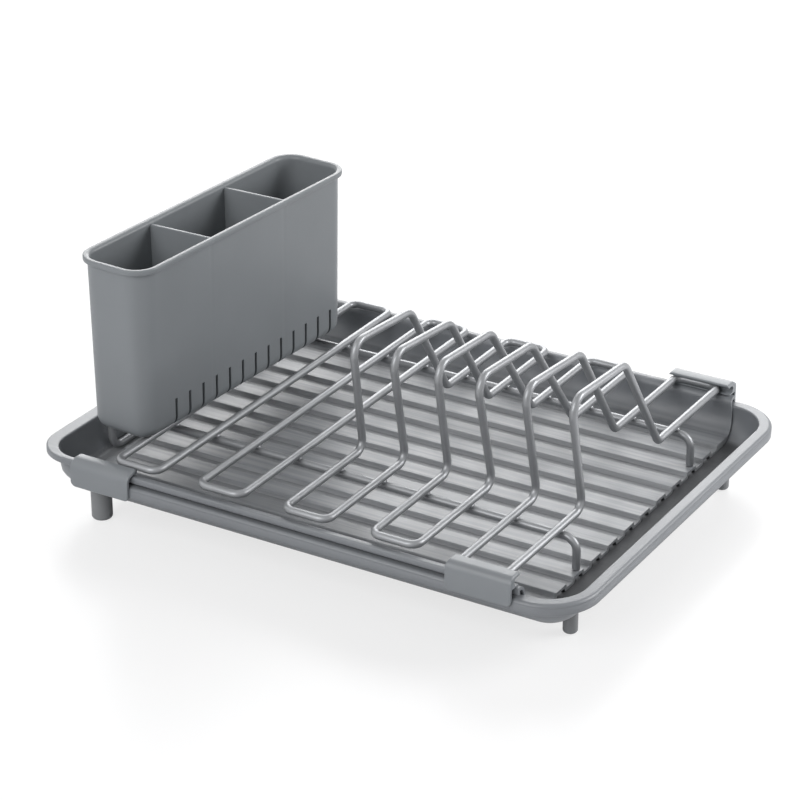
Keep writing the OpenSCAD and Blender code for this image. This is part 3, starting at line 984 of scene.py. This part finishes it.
def bead_group() -> Group:
    """Builds the tree that sets a flattened weld bead at every point.

    Returns:
        The tree.
    """
    group = Group("weld_beads", {"Bead width": "NodeSocketFloat", "Bead height": "NodeSocketFloat",
                                 "Coat": "NodeSocketMaterial"})
    start = group.start.outputs
    ball = group.node("GeometryNodeMeshIcoSphere", Radius=1.0, Subdivisions=3)
    size = group.node("ShaderNodeCombineXYZ", {
        "X": start["Bead width"], "Y": start["Bead width"], "Z": start["Bead height"]})
    beads = group.node("GeometryNodeInstanceOnPoints", {
        "Points": start["Geometry"], "Instance": ball.outputs[0], "Scale": size.outputs[0]})
    group.finish(beads.outputs[0], start["Coat"])
    return group


@dataclass
class WireRack:
    """The plate rack: five loops of wire on two bars, and the wire under the caddy.

    Sizes are in millimetres. The plate holders are bent by hand, so that each wire's bends
    stand a little apart from the next one's: by its shift along Y and its rise along Z.
    """

    coat: bpy.types.Material
    sweep: Group = field(default_factory=wire_group)
    wire_d: float = 4.8
    height: float = 46.7
    first_x: float = -124.0
    pitch: float = 29.0
    loop_end: float = 132.0
    clip_loop_end: float = 138.0
    loop_corner: float = 6.0
    loop_count: int = 5
    flat_loops: int = 2
    holder_bends: tuple[float, ...] = (7.0, 9.0, 12.0, 7.0)
    foot_front: float = -45.0
    tip_front: Point = (-61.0, 120.6)
    tip_back: Point = (4.3, 116.2)
    foot_back: float = 54.0
    tip_front_shift: tuple[float, ...] = (5, 1, 1, -4, -2, -1)
    tip_front_rise: tuple[float, ...] = (-1.5, 0, -0.5, 0.5, 1, 0)
    tip_back_shift: tuple[float, ...] = (5, 2, -1, -5, 0, -1)
    tip_back_rise: tuple[float, ...] = (-2, -1.5, 0, 0.5, 0, 0.5)
    foot_back_shift: tuple[float, ...] = (0, 0, 2, 1, -1, -2)
    bar_y: Point = (-71.0, 77.0)
    bar_h: float = 41.88
    bar_start: float = -130.0
    bar_leg_x: float = 147.33
    bar_foot: float = 22.5
    leg_bend: float = 8.0
    rest_x: float = -165.0
    rest_y: float = 80.5
    rest_low: float = 22.4
    rest_end: float = -126.45
    sides: int = 28
    bend_steps: int = 9
    cut_edge: float = 0.6
    cut_angle: float = 60.0
    bead_size: Point = (2.5, 1.7)
    bead_out: float = 0.2

    def host(self, name: str, points: Sequence[Place], bends: Sequence[float],
             closed: bool) -> bpy.types.Object:
        """Makes a polyline of mesh edges with a bend radius at each point.

        Args:
            name: The object's name.
            points: The polyline, in millimetres.
            bends: Bend radius at each point.
            closed: Whether the last point joins the first.

        Returns:
            The object.
        """
        mesh = bpy.data.meshes.new(name)
        edges = [(i, i + 1) for i in range(len(points) - 1)]
        if closed:
            edges.append((len(points) - 1, 0))
        mesh.from_pydata([metres(point) for point in points], edges, [])
        bend = mesh.attributes.new("bend", "FLOAT", "POINT")
        bend.data.foreach_set("value", metres(bends))
        return add_object(name, mesh)

    def wire(self, piece: bpy.types.Object, node: str) -> None:
        """Sweeps the wire along a polyline, rounds its cut ends and places it.

        Args:
            piece: The polyline's object.
            node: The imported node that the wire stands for.
        """
        self.sweep.apply(piece, {"Wire radius": self.wire_d / 2 * MM, "Sides": self.sides,
                                 "Bend steps": self.bend_steps, "Coat": self.coat})
        round_edges(piece, "cut_ends", self.cut_edge, self.cut_angle)
        place(freeze(piece), Body.RACK, Slot.WIRE, node)

    def holder(self, x: float, number: int) -> list[Place]:
        """One wire's plate holder, from front to back.

        Args:
            x: The wire's place.
            number: The wire's number among those with a holder, from 0.

        Returns:
            Its bend points.
        """
        front, back = self.tip_front, self.tip_back
        return [(x, self.foot_front, self.height),
                (x, front[0] + self.tip_front_shift[number], front[1] + self.tip_front_rise[number]),
                (x, back[0] + self.tip_back_shift[number], back[1] + self.tip_back_rise[number]),
                (x, self.foot_back + self.foot_back_shift[number], self.height)]

    def loop(self, number: int) -> None:
        """Builds one closed loop, up its left line and back down its right one.

        Args:
            number: The loop's number, from 1.
        """
        end = self.clip_loop_end if number == self.loop_count else self.loop_end
        points: list[Place] = []
        bends: list[float] = []
        for side, way in enumerate((1, -1)):
            x = self.first_x + 2 * (number - 1) * self.pitch + side * self.pitch
            run, radii = [(x, -end, self.height), (x, end, self.height)], [self.loop_corner] * 2
            if number > self.flat_loops:
                run[1:1] = self.holder(x, 2 * (number - self.flat_loops - 1) + side)
                radii[1:1] = self.holder_bends
            points += run[::way]
            bends += radii[::way]
        self.wire(self.host(f"loop_{number}", points, bends, True), f"wire_loop_{number}")

    def bar(self, name: str, y: float, node: str) -> None:
        """Builds a bar under the loops with its leg at the right.

        Args:
            name: The piece's name.
            y: The bar's place.
            node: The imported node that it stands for.
        """
        points = [(self.bar_start, y, self.bar_h), (self.bar_leg_x, y, self.bar_h),
                  (self.bar_leg_x, y, self.bar_foot)]
        self.wire(self.host(name, points, [0, self.leg_bend, 0], False), node)

    def rest_wire(self) -> None:
        """Builds the wire that lies on the tray's floor and carries the caddy."""
        x, y, low = self.rest_x, self.rest_y, self.rest_low
        points = [(self.rest_end, -y, self.height), (x, -y, self.height), (x, -y, low),
                  (x, y, low), (x, y, self.height), (self.rest_end, y, self.height)]
        bends = [0, *[self.leg_bend] * 4, 0]
        self.wire(self.host("rest_wire", points, bends, False), "caddy_rest_wire")

    def welds(self) -> None:
        """Builds the weld beads where wires touch."""
        lines = [self.first_x + self.pitch * i for i in range(2 * self.loop_count)]
        level = self.height - self.wire_d / 2
        points = [(x, y, level) for y in self.bar_y for x in lines]
        points += [(self.rest_end + self.bead_out, side * self.rest_y, self.height) for side in (-1, 1)]
        piece = self.host("weld_beads", points, [0] * len(points), False)
        width, height = metres(self.bead_size)
        bead_group().apply(piece, {"Bead width": width, "Bead height": height, "Coat": self.coat})
        place(freeze(piece), Body.RACK, Slot.WIRE)

    def build(self) -> None:
        """Builds the rack's wires and their weld beads."""
        for number in range(1, self.loop_count + 1):
            self.loop(number)
        self.bar("front_cross_bar", self.bar_y[0], "front_bar")
        self.bar("back_cross_bar", self.bar_y[1], "back_bar")
        self.rest_wire()
        self.welds()


@dataclass
class Clip:
    """A clip bent over the rims, run along X with rounded corners and softened edges.

    Sizes are in millimetres. The section gives points (distance from the middle, height). The
    skirt's lower corners are rounded below skirt_top and the lip's upper ones above lip_low.
    The section is repeated at the near distances from both ends.
    """

    name: str
    body: Body
    low_x: float
    high_x: float
    side: int
    section: list[Point]
    skirt_top: float
    lip_low: float
    skirt_r: float = 3.0
    lip_r: float = 1.6
    edge: float = 0.4
    edge_angle: float = 50.0
    near: tuple[float, ...] = (0.0, 0.12, 0.4, 0.8, 1.3, 1.9, 2.5, 3.0)

    def level(self, z: float, away: float) -> float:
        """Height of a point of the section near the clip's end.

        Args:
            z: Its height in the section.
            away: Its distance from the clip's nearer end.

        Returns:
            Its height with the corner rounded.
        """
        heights = [point[1] for point in self.section]
        for pivot, end, radius in ((self.skirt_top, min(heights), self.skirt_r),
                                   (self.lip_low, max(heights), self.lip_r)):
            share = (z - pivot) / (end - pivot)
            if share > 0 and away < radius:
                cut = radius - math.sqrt(radius * radius - (radius - away) ** 2)
                z += math.copysign(cut, pivot - end) * share
        return z

    def build(self, material: bpy.types.Material, node: str) -> None:
        """Builds the clip.

        Args:
            material: Its plastic.
            node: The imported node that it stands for.
        """
        length = self.high_x - self.low_x
        stations = [*self.near, length / 2, *(length - d for d in reversed(self.near))]
        points = [(self.low_x + d, self.side * y, self.level(z, min(d, length - d)))
                  for d in stations for y, z in self.section]
        n, rings = len(self.section), len(stations)
        faces = tube(rings, n) + [tuple(range(n)), tuple(range((rings - 1) * n, rings * n))]
        piece = finish_mesh(self.name, points, faces, material)
        round_edges(piece, "edges", self.edge, self.edge_angle)
        place(freeze(piece), self.body, Slot.CLIP, node)


@dataclass
class Fittings:
    """The clips on the rims and the feet under the trays.

    Sizes are in millimetres. The faces, lips and the wire are places across the tray, measured
    from the middle, and names in top, low and h are heights.
    """

    face: float = 145.0
    clip_t: float = 2.0
    guide_top: float = 46.8
    guide_low: float = 29.0
    guide_bend: float = 6.5
    guide_lip: float = 134.4
    guide_edge: float = 1.3
    guide_round: Point = (40.0, 43.4)
    hook_r: float = 1.0
    hook_gap: float = 0.3
    lip_drop: float = 0.2
    guide_x: Point = (-148.3, -107.4)
    rack_face: float = 145.3
    rack_top: float = 51.15
    rack_low: float = 33.5
    rack_bend: float = 5.0
    rack_lip: float = 134.2
    rack_x: Point = (104.8, 145.4)
    wire_y: float = 138.0
    wire_h: float = 46.7
    hold_r: float = 2.5
    jaw_low: float = 43.5
    rack_edge: float = 0.9
    rack_lip_r: float = 0.9
    jaw_r: float = 0.33
    jaw_in: float = 2.0
    skirt_cut: float = 0.5
    foot_edge: float = 0.5

    def guide_section(self) -> list[Point]:
        """Section of the guide clip: a lip over the inner rim, a big bend, a face and a hook.

        Returns:
            Points (distance from the middle, height).
        """
        t, bend, edge, gap = self.clip_t, self.guide_bend, self.guide_edge, self.hook_gap
        y, z, inner = self.face - bend, self.guide_top - bend, self.face - t
        tip = (self.guide_lip + t / 2, self.guide_top - t / 2 - self.lip_drop)
        pts = arc((self.face - edge, self.guide_low + edge), edge, -90, 0, steps=5)
        pts += arc((y, z), bend, 0, 90, steps=12)
        pts += arc(tip, t / 2, 90, 270, steps=8)
        pts += arc((y, z), bend - t, 90, 0, steps=10)
        pts.append((inner, self.guide_low + 2 * self.hook_r + gap))
        pts += arc((inner - gap, self.guide_low + self.hook_r), self.hook_r, 80, 270, steps=9)
        return pts

    def rack_section(self) -> list[Point]:
        """Section of a rack clip: a lip, a jaw round the loop's end wire, a bend and a skirt.

        Returns:
            Points (distance from the middle, height).
        """
        bend, edge, lip, cut = self.rack_bend, self.rack_edge, self.rack_lip_r, self.skirt_cut
        inner = self.rack_face - self.clip_t
        jaw_rise, lip_down = 0.35, 1.1
        pts = arc((self.rack_face - edge, self.rack_low + edge), edge, -90, 0, steps=4)
        pts += arc((self.rack_face - bend, self.rack_top - bend), bend, 0, 90, steps=10)
        pts += arc((self.rack_lip + lip, self.rack_top - lip_down), lip, 90, 260, steps=7)
        pts += arc((self.wire_y, self.wire_h), self.hold_r, 85, -100, steps=12)
        jaw = (self.rack_lip + self.jaw_in, self.jaw_low + jaw_rise)
        pts += arc(jaw, self.jaw_r, 90, 270, steps=4)
        pts += [(inner, self.jaw_low), (inner, self.rack_low + cut), (inner + cut, self.rack_low)]
        return pts

    def build(self, clip: bpy.types.Material, foot: bpy.types.Material) -> None:
        """Builds all clips and feet.

        Args:
            clip: The clips' plastic.
            foot: The feet's plastic.
        """
        Clip("guide_clip", Body.OUTER, *self.guide_x, -1, self.guide_section(),
             *self.guide_round).build(clip, "guide_clip_front")
        for end, side in (("front", -1), ("back", 1)):
            Clip(f"plate_rack_clip_{end}", Body.RACK, *self.rack_x, side, self.rack_section(),
                 self.jaw_low, self.rack_top - self.clip_t).build(clip, f"rack_clip_{end}")
        for tray, body in (("inner", Body.INNER), ("outer", Body.OUTER)):
            for end in ("front", "back"):
                node = f"{tray}_foot_{end}"
                place(soften(node, f"{node}_round", foot, self.foot_edge), body, Slot.FOOT, node)


@dataclass
class Caddy:
    """The cutlery caddy: a tall shell with a rim, two dividers and slots in its long sides.

    Sizes are in millimetres, in the caddy's own frame until the last step.
    """

    centre: Point = (-132.2, -9.3)
    turn: float = -3.7
    half_w: float = 26.0
    half_l: float = 104.0
    corner_r: float = 15.6
    under: float = 49.4
    top: float = 160.2
    wall: float = 1.8
    rim: float = 2.6
    rim_h: float = 3.4
    lean: float = 1.3
    edge_r: float = 8.0
    flare: float = 2.7
    divider_y: float = 36.0
    divider_t: float = 2.0
    divider_drop: float = 2.2
    divider_rise: float = 1.7
    slot_count: int = 13
    slot_pitch: float = 13.0
    slot_shift: float = 6.0
    slot_w: float = 2.2
    slot_h: float = 19.5
    floor_in: float = 1.5
    neck_r: float = 0.5
    lip_r: float = 0.9
    rim_soft: float = 0.5
    rim_flat: float = 0.3
    rim_foot: tuple[Point, ...] = ((0.9, 0.0), (0.4, 0.12), (0.12, 0.4), (0.0, 0.9))
    least_r: float = 1.2
    divider_bite: float = 0.4
    divider_slope: float = 2.5
    divider_edge: float = 0.5
    rounded_h: float = 8.0
    cutter_over: float = 2.0

    def section(self) -> list[Point]:
        """Section of the shell, from the underside over the rim to the inner floor.

        Returns:
            Points (distance in from the rim's outermost line, height).
        """
        def bend(x: float, z: float, radius: float, start: float, end: float,
                 steps: int) -> list[Point]:
            """Arc whose angles are measured from the way out."""
            return [(x - a, z + b) for a, b in arc((0, 0), radius, start, end, steps)]

        low, inner = self.rim + self.lean, self.rim + self.wall
        deep, base = low + self.edge_r, self.under + self.edge_r
        neck, floor = self.top - self.rim_h, deep + self.floor_in
        soft, lip, flare = self.neck_r, self.lip_r, self.flare
        pts = [(floor, self.under)]
        pts += bend(deep, base, self.edge_r, -90, 0, steps=10)
        pts += line((low, base), (self.rim, neck - soft), shares=(0.03, 0.5, 0.97, 1.0))
        pts += arc((self.rim - soft, neck - soft), soft, 45, 90, steps=1)
        pts += [(x, neck + z) for x, z in self.rim_foot]
        pts.append((0.0, self.top - lip - self.rim_soft))
        pts += bend(lip, self.top - lip, lip, 0, 90, steps=5)
        pts += [(lip + self.rim_flat, self.top), (inner - flare - self.rim_flat, self.top)]
        pts += bend(inner - flare, self.top - flare, flare, 90, 180, steps=7)
        pts += line((inner, self.top - flare), (low + self.wall, base), shares=(0.03, 0.5, 0.97))
        pts += bend(deep, base, self.edge_r - self.wall, 0, -90, steps=9)
        pts.append((floor, self.under + self.wall))
        return pts

    def ring(self, inset: float, z: float) -> list[Place]:
        """One level line round the shell.

        Args:
            inset: Its distance in from the rim's outermost line.
            z: Its height.

        Returns:
            Its points.
        """
        radius = max(self.corner_r - inset, self.least_r)
        w, l = self.half_w - inset - radius, self.half_l - inset - radius
        longest, share = 1.0, 0.1
        points: list[Place] = []
        for sx, sy, start, way in ((1, 1, 0, (-1, 0)), (-1, 1, 90, (0, -1)),
                                   (-1, -1, 180, (1, 0)), (1, -1, 270, (0, 1))):
            corner = arc((sx * w, sy * l), radius, start, start + 90, steps=12)
            reach = 2 * (w if way[0] else l)
            near, last = min(longest, reach * share), corner[-1]
            points += [(x, y, z) for x, y in corner]
            points += [(last[0] + way[0] * d, last[1] + way[1] * d, z)
                       for d in (near, reach / 2, reach - near)]
        return points

    def shell(self, material: bpy.types.Material) -> bpy.types.Object:
        """Lofts the shell as one closed mesh.

        Args:
            material: Its plastic.

        Returns:
            The shell, without slots and dividers.
        """
        rings = [self.ring(inset, z) for inset, z in self.section()]
        n, count = len(rings[0]), len(rings)
        faces = tube(count, n) + [tuple(reversed(range(n))), tuple(range((count - 1) * n, count * n))]
        return finish_mesh("caddy", [p for ring in rings for p in ring], faces, material)

    def slot_group(self) -> Group:
        """Builds the tree that cuts rows of upright slots into both long sides.

        Returns:
            The tree.
        """
        group = Group("drain_slots", {"Slots": "NodeSocketInt", "Pitch": "NodeSocketFloat",
                                      "First": "NodeSocketVector", "Width": "NodeSocketVector",
                                      "Apart": "NodeSocketVector", "Plastic": "NodeSocketMaterial"})
        start = group.start.outputs
        step = group.node("ShaderNodeCombineXYZ", {"Y": start["Pitch"]})
        row = group.node("GeometryNodeMeshLine", {
            "Count": start["Slots"], "Start Location": start["First"], "Offset": step.outputs[0]},
            mode="OFFSET")
        cutter = group.node("GeometryNodeMeshCube", {"Size": start["Width"]})
        mirror = group.node("ShaderNodeVectorMath", {0: start["Apart"]}, operation="SCALE", Scale=-1.0)
        pair = group.node("GeometryNodeJoinGeometry")
        for offset in (start["Apart"], mirror.outputs[0]):
            moved = group.node("GeometryNodeTransform", {
                "Geometry": cutter.outputs[0], "Translation": offset})
            group.tree.links.new(moved.outputs[0], pair.inputs[0])
        rows = group.node("GeometryNodeInstanceOnPoints", {
            "Points": row.outputs[0], "Instance": pair.outputs[0]})
        cutters = group.node("GeometryNodeRealizeInstances", {"Geometry": rows.outputs[0]})
        cut = group.node("GeometryNodeMeshBoolean", {0: start["Geometry"], 1: cutters.outputs[0]},
                         operation="DIFFERENCE", solver="EXACT")
        group.finish(cut.outputs[0], start["Plastic"])
        return group

    def divider(self, y: float) -> tuple[list[Place], list[tuple[int, ...]]]:
        """One divider, a plate that follows the shell's inner face.

        Args:
            y: Its place.

        Returns:
            Its points and faces.
        """
        inner = self.rim + self.wall - self.divider_bite
        deep = self.rim + self.lean + self.edge_r
        high, base = self.top - self.divider_drop, self.under + self.edge_r
        radius = self.edge_r - self.wall + self.divider_bite
        half = [(self.half_w - inner, high - self.divider_slope),
                (self.half_w - inner - self.lean, base)]
        half += arc((self.half_w - deep, base), radius, -8, -90, steps=6)
        outline = half + [(-x, z) for x, z in reversed(half)]
        outline += [(-self.half_w + inner, high), (self.half_w - self.rim, high + self.divider_rise)]
        t, n = self.divider_t / 2, len(outline)
        points = [(x, y - t, z) for x, z in outline] + [(x, y + t, z) for x, z in outline]
        faces = [tuple(range(n)), tuple(reversed(range(n, 2 * n)))]
        faces += [(i, (i + 1) % n, n + (i + 1) % n, n + i) for i in range(n)]
        return points, faces

    def build(self, material: bpy.types.Material) -> None:
        """Builds the caddy.

        Args:
            material: Its plastic.
        """
        shell, over = self.shell(material), self.cutter_over
        inner = self.half_w - self.rim - self.lean - self.edge_r
        reach, tall = self.half_w - inner + over, self.slot_h + over
        first = self.slot_shift - (self.slot_count - 1) / 2 * self.slot_pitch
        self.slot_group().apply(shell, {
            "Slots": self.slot_count, "Pitch": self.slot_pitch * MM,
            "First": metres((0, first, self.under - over + tall / 2)),
            "Width": metres((reach, self.slot_w, tall)),
            "Apart": metres((inner + reach / 2, 0, 0)), "Plastic": material})
        shell = freeze(shell)
        high = (self.top - self.rounded_h) * MM
        with editing(shell.data) as build:
            for y in (-self.divider_y, self.divider_y):
                points, faces = self.divider(y)
                corners = [build.verts.new(metres(point)) for point in points]
                made = [build.faces.new([corners[i] for i in face]) for face in faces]
                bmesh.ops.recalc_face_normals(build, faces=made)
                edges = dict.fromkeys(edge for face in made for edge in face.edges
                                      if edge.verts[0].co.z > high)
                bmesh.ops.bevel(build, geom=list(edges), offset=self.divider_edge * MM,
                                segments=BEVEL_STEPS, affect="EDGES", profile=0.5)
            build.transform(Matrix.Translation(metres((*self.centre, 0)))
                            @ Matrix.Rotation(math.radians(self.turn), 4, "Z"))
        shade_smooth(shell.data, SHARP_CADDY)
        place(shell, Body.CADDY, Slot.CADDY, "cutlery_caddy")


@dataclass(frozen=True)
class Lamp:
    """A soft square lamp that faces the object.

    Its angles are in degrees, its side and its distance in metres and its power in watts.
    """

    name: str
    azimuth: float
    elevation: float
    size: float
    power: float
    distance: float = 2.2


@dataclass
class Studio:
    """White floor, soft lamps and the camera at the photograph's viewing angle.

    Angles are in degrees, lens and sensor in millimetres and other sizes in metres.
    """

    azimuth: float = 30.7
    elevation: float = 25.9
    distance: float = 1644.3 * MM
    target: Vector = field(default_factory=lambda: Vector((6.9, -27.7, 74.9)) * MM)
    lens: float = 126.0
    sensor: float = 36.0
    far: float = 100.0
    floor_size: float = 40.0
    floor_drop: float = 0.0002
    floor_white: float = 0.72
    floor_colour: Colour = (0.93, 0.93, 0.94)
    floor_roughness: float = 0.27
    floor_ior: float = 1.45
    world_light: Point = (0.13, 1.0)
    lamps: tuple[Lamp, ...] = (
        Lamp("key", azimuth=-8, elevation=34, size=1.4, power=27),
        Lamp("back", azimuth=210, elevation=27, size=1.6, power=36),
        Lamp("side", azimuth=122, elevation=29, size=0.6, power=9.8, distance=1.2),
        Lamp("left", azimuth=-80, elevation=35, size=1.2, power=6))

    def aim(self, piece: bpy.types.Object, azimuth: float, elevation: float, reach: float) -> None:
        """Sets an object at a distance from where it stands and turns it to look back there.

        Args:
            piece: The camera or lamp, at the place that it is to look at.
            azimuth: The angle round that place, in degrees from the front.
            elevation: The height angle, in degrees.
            reach: The distance, in metres.
        """
        a, e = math.radians(azimuth), math.radians(elevation)
        back = Vector((math.sin(a) * math.cos(e), -math.cos(a) * math.cos(e), math.sin(e)))
        piece.location = piece.location + back * reach
        piece.rotation_euler = (-back).to_track_quat("-Z", "Y").to_euler()

    def camera(self) -> None:
        """Places the camera."""
        data = bpy.data.cameras.new("camera")
        data.lens = self.lens
        data.sensor_width = self.sensor
        data.clip_end = self.far
        camera = add_object("camera", data)
        camera.location = self.target
        self.aim(camera, self.azimuth, self.elevation, self.distance)
        bpy.context.scene.camera = camera

    def light(self, lamp: Lamp) -> None:
        """Adds a lamp.

        Args:
            lamp: What it is like.
        """
        data = bpy.data.lights.new(lamp.name, "AREA")
        data.size = lamp.size
        data.energy = lamp.power
        self.aim(add_object(lamp.name, data), lamp.azimuth, lamp.elevation, lamp.distance)

    def floor(self) -> None:
        """Makes the white, slightly glossy floor, which shows the camera a faint shadow."""
        half = self.floor_size / 2
        mesh = bpy.data.meshes.new("floor")
        corners = [(x * half, y * half, -self.floor_drop)
                   for x, y in ((-1, -1), (1, -1), (1, 1), (-1, 1))]
        mesh.from_pydata(corners, [], [(0, 1, 2, 3)])
        floor = add_object("floor", mesh)
        material, tree, shader = new_material("floor_white")
        shader.inputs["Base Color"].default_value = (*self.floor_colour, 1)
        shader.inputs["Roughness"].default_value = self.floor_roughness
        shader.inputs["IOR"].default_value = self.floor_ior
        glow = tree.nodes.new("ShaderNodeEmission")
        path = tree.nodes.new("ShaderNodeLightPath")
        mix = tree.nodes.new("ShaderNodeMixShader")
        share = span(tree, path.outputs["Is Camera Ray"], UNIT, (0, self.floor_white))
        tree.links.new(share, mix.inputs["Fac"])
        tree.links.new(shader.outputs["BSDF"], mix.inputs[1])
        tree.links.new(glow.outputs["Emission"], mix.inputs[2])
        out = next(n for n in tree.nodes if n.type == "OUTPUT_MATERIAL")
        tree.links.new(mix.outputs["Shader"], out.inputs["Surface"])
        mesh.materials.append(material)

    def world(self) -> None:
        """Lights the world softly and shows it white to the camera and in reflections."""
        world = bpy.data.worlds.new("studio")
        bpy.context.scene.world = world
        world.use_nodes = True
        tree = world.node_tree
        back = tree.nodes["Background"]
        back.inputs["Color"].default_value = (1, 1, 1, 1)
        path = tree.nodes.new("ShaderNodeLightPath").outputs
        seen = calculate(tree, "MAXIMUM", path["Is Camera Ray"], path["Is Glossy Ray"])
        tree.links.new(span(tree, seen, UNIT, self.world_light), back.inputs["Strength"])

    def build(self) -> None:
        """Builds the whole studio."""
        self.camera()
        self.floor()
        self.world()
        for lamp in self.lamps:
            self.light(lamp)
        bpy.context.scene.view_settings.view_transform = "Standard"


def main() -> None:
    """Builds the scene."""
    logging.basicConfig(level=logging.INFO, format="%(name)s: %(message)s")
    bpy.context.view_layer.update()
    inner = Tray("inner_tray_skin", Body.INNER, end_x=-182, open_x=150.3, half=139.8, wall_y=132.8,
                 rim_top=43.2, band_h=3.9, floor=19.7, bend_r=16.1, edge_r=1.2, roll_r=4.4,
                 rim_corner=25, well_corner=15, rib_w=12.1, rib_start=160, end_rim=9.5, end_lean=5,
                 crease=0.9, ledge_y=109.75, corner_keep=3, open_lean=3)
    outer = Tray("outer_tray_skin", Body.OUTER, end_x=182, open_x=-135, half=143, wall_y=134.9,
                 rim_top=38, band_h=7, floor=17.6, bend_r=18.2, edge_r=2.2, roll_r=1.2,
                 rim_corner=32, well_corner=23.9, rib_w=7.3, rib_start=149.5, groove=0.2)
    caddy = Caddy()
    grey = (0.19, 0.2, 0.215), (0.215, 0.227, 0.243)
    tray = RibbedPlastic("tray_plastic", *grey, floor=inner.floor, rib_h=inner.rib_h).build()
    # The outer tray's floor and grooves are painted nearly black as painted shadow under the inner
    # tray's open edge; its rib tops carry a painted sheen
    low_tray = RibbedPlastic("low_tray_plastic", *grey, floor=outer.floor, rib_h=outer.rib_h,
                             rib_sheen=(0.235, 0.243, 0.255), groove=(0.085, 0.088, 0.093), dull=0.4).build()
    clip = MouldedPlastic("clip_plastic", (0.2, 0.215, 0.23), (0.225, 0.24, 0.255)).build()
    shell = ShellPlastic("caddy_plastic", (0.204, 0.218, 0.23), (0.221, 0.236, 0.25),
                         centre=caddy.centre, turn=caddy.turn, divider_y=caddy.divider_y).build()
    foot = MouldedPlastic("foot_plastic", (0.2, 0.207, 0.215), (0.225, 0.232, 0.24), (0.4, 0.5)).build()
    coat = CoatedWire("wire_coat", (0.265, 0.273, 0.284), (0.295, 0.303, 0.315)).build()
    inner.build(tray, "inner_tray")
    outer.build(low_tray, "outer_tray")
    Fittings().build(clip, foot)
    WireRack(coat).build()
    caddy.build(shell)
    Studio().build()


if __name__ == "__main__":
    main()
